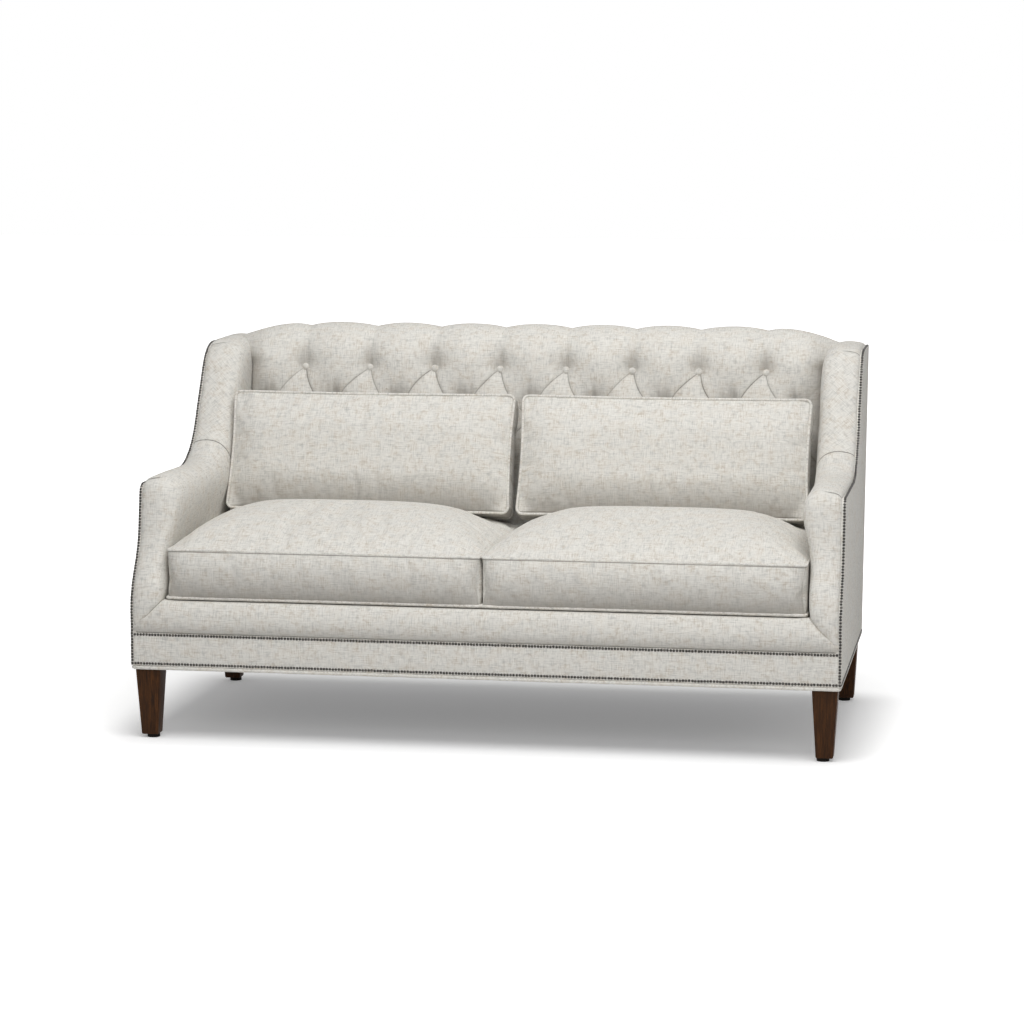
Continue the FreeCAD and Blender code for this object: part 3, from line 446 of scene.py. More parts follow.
class Finish:
    """The node tree of a material, ending in one Principled BSDF, or of the world."""

    def __init__(self, name, kind="materials", shader="Principled BSDF", **plain):
        self.material = getattr(bpy.data, kind).new(name)
        self.material.use_nodes = True
        self.tree = self.material.node_tree
        self.shader = self.tree.nodes[shader]
        self.ends(**plain)

    def join(self, value, socket):
        if isinstance(value, Strand):
            self.tree.links.new(value.socket, socket)
        elif socket.type == "RGBA" and len(value) == 3:
            socket.default_value = (*value, 1)
        else:
            socket.default_value = value

    def add(self, kind, settings=None, inputs=None, output=0):
        """A node of a type: its settings are set first, then the values or links of its sockets."""
        node = self.tree.nodes.new(kind)
        for key, value in (settings or {}).items():
            setattr(node, key, value)
        for key, value in (inputs or {}).items():
            self.join(value, node.inputs[key])
        return Strand(self, node.outputs[output])

    def mix(self, share, first, second, clamped=True):
        """Mix two colours by a share."""
        return self.add("ShaderNodeMix", {"data_type": "RGBA", "clamp_factor": clamped},
                        {"Factor": share, 6: first, 7: second}, output=2)

    def stretch(self, where, across, up, along=1.0):
        return self.add("ShaderNodeVectorMath", {"operation": "MULTIPLY"},
                        {0: where, 1: (across, up, along)})

    def noise(self, where, size=1.0, detail=1.0, rough=0.5):
        return self.add("ShaderNodeTexNoise", {"noise_dimensions": "3D"},
                        {"Vector": where, "Scale": size, "Detail": detail, "Roughness": rough})

    def between(self, value, low, high):
        """0 below low, 1 above high, and smooth between."""
        return self.add("ShaderNodeMapRange", {"interpolation_type": "SMOOTHSTEP"},
                        {"Value": value, "From Min": low, "From Max": high})

    def bump(self, height, depth, strength, **over):
        return self.add("ShaderNodeBump", None,
                        {"Height": height, "Distance": depth, "Strength": strength, **over})

    def split(self, vector):
        """The first number of a vector; the others are its also("Y") and also("Z")."""
        return self.add("ShaderNodeSeparateXYZ", None, {"Vector": vector})

    def note(self, name, output):
        """What a piece keeps on its points under that name."""
        return self.add("ShaderNodeAttribute", {"attribute_name": name}, output=output)

    def ends(self, **inputs):
        for key, value in inputs.items():
            self.join(value, self.shader.inputs[key.replace("_", " ")])
        return self.material

    def object_place(self):
        return self.add("ShaderNodeTexCoord", output="Object")

    def seen(self):
        """1 for the camera's rays and for those in reflections and through glass, 0 for light."""
        ray = self.add("ShaderNodeLightPath", output="Is Camera Ray")
        seen = ray.maths("MAXIMUM", ray, ray.also("Is Glossy Ray"))
        return ray.maths("MAXIMUM", seen, ray.also("Is Transmission Ray"))


def linen(name, colours, seams=False):
    """Oatmeal tweed: plain weave, thick and thin threads both ways, brown and grey slubs, soft patches."""
    made = Finish(name, Roughness=0.93, Sheen_Weight=0.12, Sheen_Roughness=0.5, Specular_IOR_Level=0.2)
    weave = made.add("ShaderNodeUVMap", {"uv_map": "weave"})
    warp = made.noise(made.stretch(weave, 400, 36), detail=2, rough=0.6)
    weft = made.noise(made.stretch(weave, 36, 400), detail=2, rough=0.6)
    fine_warp = made.noise(made.stretch(weave, 1100, 90), detail=1)
    fine_weft = made.noise(made.stretch(weave, 90, 1100), detail=1)
    patches = made.noise(weave, size=30, detail=3, rough=0.6)
    clouds = made.noise(made.stretch(weave, 75, 95), detail=2)
    flecks = made.noise(made.stretch(weave, 230, 330), detail=2)
    dark = made.between(warp, 0.50, 0.70) + made.between(weft, 0.50, 0.70)
    pale = made.between(1 - warp, 0.52, 0.72) + made.between(1 - weft, 0.52, 0.72)
    fine = made.between(fine_warp, 0.45, 0.65) + made.between(fine_weft, 0.45, 0.65)
    tint = made.mix(made.between(patches, 0.42, 0.62), colours.grey_slub, colours.brown_slub)
    colour = made.mix(dark * 0.40, colours.cloth, tint)
    colour = made.mix(pale * 0.36, colour, (0.90, 0.885, 0.84))
    colour = made.mix(fine * 0.13, colour, tint)
    colour = made.mix(made.between(clouds, 0.50, 0.74) * 0.38, colour, tint)
    brown = made.between(flecks, 0.62, 0.78) * made.between(patches, 0.46, 0.66)
    colour = made.mix(brown * 0.75, colour, (0.24, 0.17, 0.11))
    across = made.split(weave)
    thread = 2 * math.pi / 0.0013
    ribs = (across * thread).sine() * (across.also("Y") * thread).sine()
    height = ribs * 0.25 + (warp + weft) * 0.6 + fine * 0.12
    if seams:
        seam = made.split(made.note("seam", "Vector"))
        nearest = seam.maths("MINIMUM", seam.size(), seam.also("Y").size())
        # Painted crease shade: a dark line along each seam and pleat, which is also dented into the bump.
        crease_shade = (1 - made.between(nearest, 0.0005, 0.0023)) * seam.also("Z")
        colour = made.mix(crease_shade * 0.80, colour, (0.13, 0.115, 0.095))
        height = height - crease_shade * 3.0
        # Painted shade: the colour darkened by the shade that each point keeps.
        colour = made.mix(made.note("shade", "Fac") * 0.75, colour, (0.26, 0.24, 0.215))
    soft = made.bump(made.noise(made.object_place(), size=9, detail=2), 0.004, 0.35)
    return made.ends(Base_Color=colour, Normal=made.bump(height, 0.00035, 0.8, Normal=soft))


def toned(colour, share):
    """A colour made darker or lighter."""
    return tuple(min(1.0, share * part) for part in colour)


def stained_wood(name, colour):
    """Straight-grained wood along the height of the piece, under a thin varnish."""
    made = Finish(name, Coat_Weight=0.03, Coat_Roughness=0.35, Specular_IOR_Level=0.12)
    where = made.object_place()
    grain = made.noise(made.stretch(where, 260, 260, 9), detail=5, rough=0.62)
    broad = made.noise(made.stretch(where, 34, 34, 3), detail=2)
    pores = made.between(made.noise(made.stretch(where, 900, 900, 40), detail=1), 0.60, 0.74)
    dark = toned(colour, 0.35)
    shade = made.mix(made.between(grain, 0.32, 0.70), dark, toned(colour, 1.9))
    shade = made.mix(made.between(broad, 0.35, 0.65) * 0.5, shade, colour)
    shade = made.mix(pores * 0.6, shade, dark)
    return made.ends(Base_Color=shade, Roughness=made.between(grain, 0.2, 0.9) * 0.14 + 0.52,
                     Normal=made.bump(grain + pores * -0.6, 0.0003, 0.6))


def raw_timber(name, colour):
    """Planed hardwood inside the frame, its grain along the piece's length."""
    made = Finish(name, Roughness=0.72)
    where = made.object_place()
    grain = made.noise(made.stretch(where, 14, 120, 120), detail=4, rough=0.6)
    knots = made.noise(where, size=7, detail=2)
    dark = toned(colour, 0.55)
    shade = made.mix(made.between(grain, 0.35, 0.68), colour, dark)
    shade = made.mix(made.between(knots, 0.62, 0.8) * 0.5, shade, dark)
    return made.ends(Base_Color=shade, Normal=made.bump(grain, 0.0006, 0.5))


def pewter(name, colour):
    """Dark domed nail heads, with lighter, more metallic patches that are partly worn metal and partly
    painted highlight.
    """
    made = Finish(name)
    where = made.object_place()
    rubbed_and_highlight = made.between(made.noise(where, size=160, detail=2), 0.48, 0.72)
    tarnish = made.noise(where, size=900, detail=2)
    # Painted highlight, partly wear: the patches are lighter in colour as well as more metallic.
    shade = made.mix(rubbed_and_highlight * 0.6, colour, toned(colour, 5.0))
    return made.ends(Base_Color=shade, Metallic=rubbed_and_highlight * 0.4 + 0.45,
                     Roughness=made.between(tarnish, 0.3, 0.8) * 0.18 + 0.30,
                     Normal=made.bump(tarnish, 0.0002, 0.4))


def drawn_steel(name):
    made = Finish(name, Metallic=0.9)
    where = made.object_place()
    streaks = made.noise(made.stretch(where, 90, 700, 700), detail=3)
    shade = made.mix(made.between(streaks, 0.3, 0.7), (0.36, 0.36, 0.37), (0.55, 0.55, 0.56))
    return made.ends(Base_Color=shade, Roughness=streaks * 0.2 + 0.25)


def plain_cloth(name, colour, thread):
    """A plain woven cloth on object coordinates, for the hidden linings."""
    made = Finish(name, Roughness=0.95)
    where = made.object_place()
    across = made.split(where)
    wave = 2 * math.pi / thread
    ribs = (across * wave).sine() * ((across.also("Y") + across.also("Z")) * wave).sine()
    worn = made.noise(where, size=30, detail=3)
    dark = toned(colour, 0.6)
    shade = made.mix(made.between(worn, 0.35, 0.7) * 0.5, colour, dark)
    shade = made.mix(ribs.size() * 0.25, shade, dark)
    return made.ends(Base_Color=shade, Normal=made.bump(ribs, 0.0004, 0.6))


def open_foam(name):
    made = Finish(name, Roughness=0.95)
    where = made.object_place()
    cells = made.add("ShaderNodeTexVoronoi", {"feature": "F1"}, {"Vector": where, "Scale": 700.0})
    shade = made.mix(made.between(cells, 0.1, 0.6), (0.62, 0.55, 0.36), (0.80, 0.75, 0.58))
    return made.ends(Base_Color=shade, Normal=made.bump(cells, 0.0008, 0.5))


def moulded(name):
    made = Finish(name, Specular_IOR_Level=0.10)
    where = made.object_place()
    grain = made.noise(where, size=600, detail=2)
    shade = made.mix(made.between(grain, 0.3, 0.7), (0.006, 0.005, 0.004), (0.014, 0.011, 0.009))
    return made.ends(Base_Color=shade, Roughness=grain * 0.2 + 0.6, Normal=made.bump(grain, 0.0002, 0.4))


finishes = {}


def finish(name):
    """The finish of that name, made once."""
    colours = bpy.context.scene.settee_colours
    makers = {
        "linen": lambda: linen("linen_tweed", colours),
        "linen_with_painted_shade": lambda: linen("linen_tweed_painted_shade", colours, seams=True),
        "leg": lambda: stained_wood("walnut_stain", tuple(colours.leg)),
        "timber": lambda: raw_timber("frame_timber", tuple(colours.timber)),
        "nail": lambda: pewter("dark_pewter", tuple(colours.nail)),
        "steel": lambda: drawn_steel("drawn_steel"),
        "lining": lambda: plain_cloth("deck_lining", (0.62, 0.58, 0.50), 0.0012),
        "webbing": lambda: plain_cloth("jute_webbing", (0.36, 0.26, 0.15), 0.0030),
        "dust": lambda: plain_cloth("black_dust_cloth", (0.022, 0.022, 0.022), 0.0015),
        "foam": lambda: open_foam("cushion_foam"),
        "glide": lambda: moulded("nylon_glide"),
    }
    if name not in finishes:
        finishes[name] = makers[name]()
    return finishes[name]


# The arm's edge line


SWEEP, NECK, RISE = math.radians(32), math.radians(9), math.radians(60)
BASE_Z, SWEEP_Z, ARM_Z, WING_Z = 0.178, 0.310, 0.603, 0.898
SWEEP_R, SWEEP_RUN, HOLLOW_R, NOSE_R, RISE_R, WING_R = 0.150, 0.047, 0.190, 0.026, 0.196, 0.112
RISE_Y, REAR_Y, REAR_LEAN = 0.400, 0.800, 0.120 / 0.720
PANEL = 0.012


def rear_line(height):
    """Distance from the front to the inside of the leaning rear panel."""
    return REAR_Y - PANEL + (height - BASE_Z) * REAR_LEAN


def edge_strokes():
    """The arm's edge from the underside in front to the wing's back: (length, radius, turn) strokes."""
    neck_low = (SWEEP_Z + SWEEP_R * math.sin(SWEEP) + SWEEP_RUN * math.cos(SWEEP)
                + HOLLOW_R * (math.sin(SWEEP) - math.sin(NECK)))
    neck_run = (ARM_Z - NOSE_R * (1 - math.sin(NECK)) - neck_low) / math.cos(NECK)
    rise_low = ARM_Z + RISE_R * (1 - math.cos(RISE))
    rise_high = WING_Z - WING_R * (1 - math.cos(RISE))
    nose_y = (SWEEP_R * (1 - math.cos(SWEEP)) + SWEEP_RUN * math.sin(SWEEP)
              + HOLLOW_R * (math.cos(NECK) - math.cos(SWEEP)) + neck_run * math.sin(NECK)
              + NOSE_R * math.cos(NECK))
    top_y = RISE_Y + (RISE_R + WING_R) * math.sin(RISE) + (rise_high - rise_low) / math.tan(RISE)
    return ((SWEEP_Z - BASE_Z, 0, 0), (0, SWEEP_R, SWEEP), (SWEEP_RUN, 0, 0), (0, HOLLOW_R, NECK - SWEEP),
            (neck_run, 0, 0), (0, NOSE_R, math.pi / 2 - NECK), (RISE_Y - nose_y, 0, 0),
            (0, RISE_R, -RISE), ((rise_high - rise_low) / math.sin(RISE), 0, 0), (0, WING_R, RISE),
            (rear_line(WING_Z) - top_y, 0, 0))


def edge_at(wanted):
    """Places (y, z), headings and hollow radii along the arm's edge, at distances from the underside."""
    y, z, heading, gone, found = 0.0, BASE_Z, math.pi / 2, 0.0, []
    wanted = list(wanted)
    for length, radius, turn in edge_strokes():
        size = abs(radius * turn) if turn else length
        side = math.copysign(1, turn)
        while wanted and wanted[0] <= gone + size + 1e-9:
            run = wanted.pop(0) - gone
            if turn:
                new = heading - side * run / radius
                found.append((y + side * radius * (math.sin(heading) - math.sin(new)),
                              z + side * radius * (math.cos(new) - math.cos(heading)), new,
                              radius if turn < 0 else 0))
            else:
                found.append((y + run * math.cos(heading), z + run * math.sin(heading), heading, 0))
        if turn:
            y += side * radius * (math.sin(heading) - math.sin(heading - turn))
            z += side * radius * (math.cos(heading - turn) - math.cos(heading))
            heading -= turn
        else:
            y, z = y + length * math.cos(heading), z + length * math.sin(heading)
        gone += size
    return np.array(found), gone


EDGE_LENGTH = edge_at([0])[1]


def nearest_point(spots, line):
    """For each point, the number of the nearest point of a line."""
    nearest = np.empty(len(spots), int)
    for start in range(0, len(spots), 4000):
        part = spots[start:start + 4000]
        nearest[start:start + 4000] = ((part[:, None] - line) ** 2).sum(2).argmin(1)
    return nearest


def nearest_on_edge(spots):
    """For each point, the distance along the arm's edge of the nearest place on it."""
    marks = np.arange(0, EDGE_LENGTH, 0.002)
    line = edge_at(marks)[0]
    places = line[:, :2] + (FRONT, 0)
    nearest = nearest_point(spots[:, 1:], places)
    heading = line[nearest, 2]
    past = spots[:, 1:] - places[nearest]
    return marks[nearest] + past[:, 0] * np.cos(heading) + past[:, 1] * np.sin(heading)


# Pieces


class Step:
    """What every building step shares: its options and its way to finish."""

    bl_options = {"REGISTER", "UNDO"}

    def execute(self, context):
        self.make(context.scene.settee_sizes)
        return {"FINISHED"}


class SETTEE_OT_frame(Step, bpy.types.Operator):
    """Give the frame's own timbers, wires and fixings their finishes"""

    bl_idname = "settee.frame"
    bl_label = "Frame Finishes"

    kinds = {
        "timber": ("front_rail", "back_rail", "centre_rail", "front_post", "side_rail", "back_post",
                   "arm_post", "arm_rail", "back_top_rail", "back_lower_rail", "back_centre_post",
                   "side_board", "corner_blocks"),
        "steel": ("seat_springs", "spring_clips", "tie_wires", "hanger_bolts", "leg_plates"),
        "webbing": ("back_webbing",),
        "lining": ("seat_deck",),
        "dust": ("dust_cover",),
        "foam": ("seat_cushion_core",),
        "glide": ("leg_glides",),
        "nail": ("front_nails", "arm_nails", "side_nails"),
        "leg": ("leg_front", "leg_rear"),
    }

    def make(self, sizes):
        for name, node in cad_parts.items():
            kind = next((kind for kind, stems in self.kinds.items() if name.startswith(stems)), "linen")
            node.data.materials.clear()
            node.data.materials.append(finish(kind))


class SETTEE_OT_inside(Step, bpy.types.Operator):
    """Fill the frame: zigzag springs, padded deck, back straps and the thin cloth underneath"""

    bl_idname = "settee.inside"
    bl_label = "Springs and Linings"

    wire, cross, bend, count = 0.0017, 0.034, 0.013, 9
    straps, strap_width, strap_thick = 8, 0.050, 0.0018

    def springs(self):
        low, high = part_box("seat_springs")
        front, rear, level = low.y + self.wire, high.y - self.wire, (low.z + high.z) / 2
        turns = round((rear - front) / (2 * self.bend))
        rise = (rear - front) / turns / 2
        line, hand = [(-self.cross / 2, front, level)], 1
        for turn in range(turns):
            y = front + 2 * rise * turn
            for step in range(5):
                angle = math.pi * step / 4
                line.append((hand * (self.cross / 2 + self.bend * math.sin(angle)),
                             y + rise * (1 - math.cos(angle)), level))
            hand = -hand
        line.append((hand * self.cross / 2, rear, level))
        path, span = np.array(line), (high.x - low.x) / 2 - self.cross / 2 - self.bend - self.wire
        rows = [cord(f"spring_{number}", path + (span * (2 * number / (self.count - 1) - 1), 0, 0),
                     self.wire, closed=False, sides=1) for number in range(self.count)]
        for row in rows:
            with editing(row):
                bpy.ops.mesh.fill_holes(sides=0)
        wires = joined("zigzag_springs", rows)
        complete(wires, finish("steel"), stands_for=["seat_springs"])

    def deck(self):
        low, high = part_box("seat_deck")
        pad = squared_box("deck_pad", low, high, (90, 44, 3))
        modify(pad, "SMOOTH", factor=0.5, iterations=4)
        spots = points(pad)
        rows = 0.5 + 0.5 * np.cos(2 * math.pi * spots[:, 0] / 0.19)
        spots[:, 2] -= step_up(spots[:, 2], 0.318, 0.335) * 0.0025 * rows
        put_points(pad, spots)
        lay_weave(pad, seed=14)
        complete(pad, finish("lining"), stands_for=["seat_deck"])

    def dust_cloth(self):
        low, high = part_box("dust_cover")
        cloth = squared_box("dust_cloth", low, (high.x, high.y, low.z + 0.0012), (80, 38, 1))
        spots = points(cloth)
        room = np.clip(1 - np.abs(spots[:, 0]) / high.x, 0, 1) * 6
        room = np.minimum(room, np.minimum(spots[:, 1] - low.y, high.y - spots[:, 1]) / 0.12)
        spots[:, 2] -= step_up(room, 0, 1) * (0.003 + 0.0012 * smooth_noise(spots, 0.25, 6))
        put_points(cloth, spots)
        complete(cloth, finish("dust"), stands_for=["dust_cover"])

    def back_straps(self):
        low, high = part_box("back_webbing")
        tall, pieces = high.z - low.z, []
        reach = high.x - self.strap_width / 2
        for number in range(self.straps):
            x = reach * (2 * number / (self.straps - 1) - 1)
            strap = squared_box(f"strap_{number}", (x - self.strap_width / 2, low.y, low.z),
                                (x + self.strap_width / 2, low.y + self.strap_thick, high.z), (4, 1, 24))
            spots = points(strap)
            share = (spots[:, 2] - low.z) / tall
            spots[:, 1] += (spots[:, 2] - low.z) * REAR_LEAN - 0.004 * np.sin(math.pi * share)
            put_points(strap, spots)
            pieces.append(strap)
        straps = joined("back_straps", pieces)
        complete(straps, finish("webbing"), stands_for=["back_webbing"], angle=40)

    def make(self, sizes):
        self.springs()
        self.deck()
        self.dust_cloth()
        self.back_straps()


class SETTEE_OT_lower_band(Step, bpy.types.Operator):
    """Cover the flat band under the seat, a little full between its two rows of nails"""

    bl_idname = "settee.lower_band"
    bl_label = "Lower Band"

    def make(self, sizes):
        low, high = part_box("lower_band")
        wide = Vector((WRAP, 0, 0))
        band = squared_box("front_band", low - wide, high + wide, (200, 2, 14))
        spots = points(band)
        share = (spots[:, 2] - low.z) / (high.z - low.z)
        full = np.clip(np.sin(math.pi * (share - 0.1) / 0.8), 0, 1) ** 0.8
        waves = smooth_noise(spots * (1, 1, 2), 0.16, 3) * 0.0005
        front = np.isclose(spots[:, 1], low.y, atol=1e-4)
        spots[front, 1] -= ((0.0022 + waves) * full)[front]
        put_points(band, spots)
        modify(band, "BEVEL", width=0.002, segments=2, limit_method="ANGLE", angle_limit=math.radians(50))
        lay_weave(band, seed=11)
        complete(band, finish("linen"), stands_for=["lower_band"], angle=50)


class SETTEE_OT_front_border(Step, bpy.types.Operator):
    """Stuff the rounded border between the arms, mitred at both ends"""

    bl_idname = "settee.front_border"
    bl_label = "Front Border"

    def make(self, sizes):
        border = stuffed_copy("front_border", "seat_border", 0.0045, 8)
        spots = points(border)
        facing = normals(border).copy()
        mitre = step_up((np.abs(facing[:, 0]) + facing[:, 2]) * 0.7, 0.80, 0.97)
        mitre *= np.abs(spots[:, 0]) > 0.764
        spots += facing * (mitre * MITRE_FULL)[:, None]
        low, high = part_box("front_border")
        ahead = step_up(-normals(border)[:, 1], 0.2, 0.9)
        waves = smooth_noise(spots * (1, 1, 2.5), 0.13, 5) * 0.0008
        spots[:, 1] -= ahead * waves
        rear = step_up(spots[:, 1], -0.451, -0.432) * step_up(spots[:, 2], 0.31, 0.33)
        rear *= 1 - step_up(np.abs(spots[:, 0]), 0.735, 0.760)
        spots[:, 2] -= rear * 0.0012
        put_points(border, widened(spots))
        # Painted shade: the front darker at its foot and a little all over, and the top darker where the
        # cushions' lower cord rests.
        heel = 1 - step_up(spots[:, 2], low.z, low.z + 0.030)
        note_shade(border, heel * 0.42 * ahead + 0.05 * ahead + rear * 0.50)
        lay_weave(border, seed=12)
        complete(border, finish("linen_with_painted_shade"), stands_for=["front_border"])


class SETTEE_OT_outer_panels(Step, bpy.types.Operator):
    """Cover the outside panels of the arms and wings, with softened edges"""

    bl_idname = "settee.outer_panels"
    bl_label = "Outside Panels"

    def make(self, sizes):
        for seed, hand in enumerate(HANDS, 21):
            panel = copied(f"outer_panel_{hand}", f"outside_arm_{hand}")
            modify(panel, "DECIMATE", decimate_type="DISSOLVE", angle_limit=math.radians(1))
            spots = points(panel)
            spots[:, 0] += np.sign(spots[:, 0]) * PLUMP * (np.abs(spots[:, 0]) > SIDE - 0.001)
            put_points(panel, spots)
            modify(panel, "BEVEL", width=0.0018, segments=3, limit_method="ANGLE",
                   angle_limit=math.radians(40))
            modify(panel, "TRIANGULATE")
            lay_weave(panel, seed=seed)
            complete(panel, finish("linen"), stands_for=[f"outer_panel_{hand}"], angle=35)
        back = copied("outside_back", "outside_back_cloth")
        modify(back, "DECIMATE", decimate_type="DISSOLVE", angle_limit=math.radians(1))
        modify(back, "BEVEL", width=0.0025, segments=3, limit_method="ANGLE", angle_limit=math.radians(40))
        lay_weave(back, seed=23)
        complete(back, finish("linen"), stands_for=["outside_back"], angle=35)


class SETTEE_OT_arm_pads(Step, bpy.types.Operator):
    """Stuff the inside arms and wings, their seams drawn in across the edge"""

    bl_idname = "settee.arm_pads"
    bl_label = "Arm and Wing Pads"

    nose_seam, wing_foot_seam, wing_top_seam = 0.449, 0.889, 1.183

    def seam(self, spots, along):
        """Distance from the nearest seam, and its strength from 0 to 1."""
        x = np.abs(spots[:, 0])
        foot = along - (self.wing_foot_seam - 3.5 * (x - 0.803) ** 2)
        nose = along - self.nose_seam - 0.12 * (0.828 - x)
        top = along - self.wing_top_seam + 6.0 * (x - 0.798) ** 2
        every = np.stack([foot, nose, top])
        strength = np.stack([step_up(spots[:, 2], 0.60, 0.64), step_up(x, 0.782, 0.806),
                             step_up(x, 0.784, 0.800)])
        nearest = np.where(strength > 0.02, np.abs(every), 1).argmin(0)
        rows = np.arange(len(spots))
        return every[nearest, rows], strength[nearest, rows]

    def make(self, sizes):
        for seed, hand in enumerate(HANDS, 31):
            pad = stuffed_copy(f"arm_pad_{hand}", f"inside_arm_{hand}", 0.005, 10)
            inward = 1 - step_up(np.abs(points(pad)[:, 0]), 0.780, 0.824)
            group = pad.vertex_groups.new(name="inward")
            for weight in range(1, 11):
                chosen = np.nonzero(np.round(inward * 10) == weight)[0]
                group.add(chosen.tolist(), weight / 10, "REPLACE")
            modify(pad, "SMOOTH", factor=0.8, iterations=110, vertex_group="inward")
            pad.vertex_groups.clear()
            spots = points(pad)
            along = nearest_on_edge(spots)
            distance, strength = self.seam(spots, along)
            drawn = np.exp(-(distance / 0.005) ** 2) * strength * 0.0016
            waves = smooth_noise(spots, 0.19, seed) * 0.0012
            facing = normals(pad).copy()
            inner = -facing[:, 0] * np.sign(spots[:, 0])
            mitre = step_up((inner - facing[:, 2]) * 0.7, 0.80, 0.97) * (spots[:, 2] < 0.37)
            spots += facing * (waves - drawn + mitre * MITRE_FULL)[:, None]
            put_points(pad, widened(spots))
            # Painted crease shade: a dark line along each drawn-in seam.
            note_seam(pad, distance, np.ones(len(spots)), strength)

            def rule(spots, facing, middles, corners, along=along):
                run = along[corners]
                inner = np.abs(facing[:, 0]) > 0.8
                laid = np.stack([np.where(inner, spots[:, 1], spots[:, 0]),
                                 np.where(inner, spots[:, 2], run)], 1)
                middle_run = nearest_on_edge(middles)
                bias = (middle_run > self.wing_foot_seam) & (middle_run < self.wing_top_seam)
                bias &= middles[:, 2] > 0.64
                turned = np.stack([laid[:, 0] - laid[:, 1], laid[:, 0] + laid[:, 1]], 1) * math.sqrt(0.5)
                return np.where(bias[:, None], turned, laid)

            lay_weave(pad, rule, seed=seed)
            complete(pad, finish("linen_with_painted_shade"), stands_for=[f"arm_pad_{hand}"])


class SETTEE_OT_tufted_back(Step, bpy.types.Operator):
    """Stuff the buttoned back: deep pits, pleats between them in diamonds, and a scalloped top"""

    bl_idname = "settee.tufted_back"
    bl_label = "Buttoned Back"

    rows = 3
    cell, end_round = 0.0034, 0.075
    top_button = Vector((0.3075, 0.836))
    foot = Vector((0.1855, 0.335))
    shoulder_z, crest, rear = 0.868, Vector((0.3735, 0.9375)), Vector((0.4500, 0.893))

    def profile(self):
        """Places, outward normals and distances up the face and over the top rail."""
        slope = (self.top_button - self.foot).normalized()
        shoulder = self.foot + slope * ((self.shoulder_z - self.foot.y) / slope.y)
        line = [self.foot.lerp(shoulder, i / 400) for i in range(400)]
        crest, rear, rise = self.crest, self.rear, self.crest.y - shoulder.y
        for start, first, second, end in (
                (shoulder, shoulder + slope * rise * 0.62, crest - Vector((0.034, 0)), crest),
                (crest, crest + Vector((0.040, 0)), rear + Vector((-0.004, 0.026)), rear)):
            for i in range(80):
                t = i / 80
                line.append(start * (1 - t) ** 3 + first * 3 * t * (1 - t) ** 2
                            + second * 3 * t * t * (1 - t) + end * t ** 3)
        line = np.array([*line, rear])
        steps = np.diff(line, axis=0)
        lengths = np.hypot(steps[:, 0], steps[:, 1])
        away = np.concatenate([[0], np.cumsum(lengths)])
        tangent = np.gradient(line, away, axis=0)
        tangent /= np.linalg.norm(tangent, axis=1)[:, None]
        out = np.stack([-tangent[:, 1], tangent[:, 0]], 1)
        return line, out, away

    def button_spots(self, sizes):
        """Each button's (x, height), row by row."""
        spots = []
        for row in range(self.rows):
            count = 8 + row % 2
            spots += [((i - (count - 1) / 2) * sizes.button_pitch, self.top_button.y - row * sizes.row_drop)
                      for i in range(count)]
        return spots

    def relief(self, sizes, x, up, button_up, crest_up, end_up):
        """How far the cloth stands out of the buttons' plane, its pleats and its painted shade."""
        slope = (self.top_button - self.foot).normalized()
        drop = sizes.row_drop / slope.y
        # Half a pitch is one step across, and a row one step down. The pleats are where one of two
        # families of slanting lines crosses zero, and between them the cloth swells.
        across = x / (sizes.button_pitch / 2)
        down = (button_up - up) / drop
        inside = np.clip(down, 0, self.rows - 1)
        bow = np.abs(np.sin(math.pi * inside))
        flat = np.stack([x, up, x * 0], 1)
        wander = smooth_noise(flat, 0.16, 5) * 0.05
        one = np.sin(math.pi * (across + wander + inside + 0.17 * bow - 1) / 2)
        other = np.sin(math.pi * (across + wander - inside + 0.20 * bow - 1) / 2)
        roll = np.abs(np.sin(math.pi * (across + wander - 1) / 2))
        roll = (np.sqrt(roll ** 2 + 0.004) - math.sqrt(0.004)) ** 0.72
        diamond = np.sqrt((one * other) ** 2 + 0.0025) - 0.05
        lower = step_up(down, -0.10, 0.30)
        swell = roll * (1 - lower) + (0.67 + 0.14 * diamond) * lower
        # Round each button: the distance from it, loose folds above it, and painted shade in its pit and in
        # a fan above it.
        near = np.full(len(x), 1.0)
        folds, plain, shade = np.zeros(len(x)), np.zeros(len(x)), np.zeros(len(x))
        streaks = 0.75 + 0.35 * smooth_noise(flat * (6, 1, 1), 0.07, 8)
        random = np.random.default_rng(17)
        for bx, height in self.button_spots(sizes):
            side, rise = x - bx, up - button_up + (self.top_button.y - height) / slope.y
            away = np.hypot(side, rise)
            near = np.minimum(near, np.hypot(side, np.where(rise < 0, 0.62, 1.0) * rise))
            above = np.exp(-((rise - 0.030) / 0.026) ** 2)
            for _ in range(3):
                lean, place = random.uniform(-0.25, 0.25), random.uniform(-0.013, 0.013)
                width, depth = random.uniform(0.0045, 0.0075), random.uniform(0.0006, 0.0020)
                folds += above * depth * np.exp(-((side - place - lean * rise) / width) ** 2)
            # Painted shade: a fan above each button, wider and taller for the lower rows, and a ring round
            # the button.
            rest = np.clip(1 - rise / 0.080, 0, 1)
            fan = np.exp(-(side / (0.007 + 0.013 * rest)) ** 2) * rest ** 0.8 * 0.80
            if height < self.top_button.y - 0.01:
                fan = np.exp(-(side / 0.031) ** 2) * (1 - step_up(rise, 0.050, 0.118)) * 1.15
            shade = np.maximum(shade, fan * streaks * step_up(rise, -0.012, 0.006))
            shade = np.maximum(shade, 0.50 * np.exp(-(away / 0.019) ** 2))
            for hand in (-1, 1):
                below = (rise < 0.004) & (rise > -sizes.row_drop) & (side * hand >= 0)
                below &= np.abs(side) < sizes.button_pitch / 2
                plain = np.where(below, random.uniform(0.55, 1.0), plain)
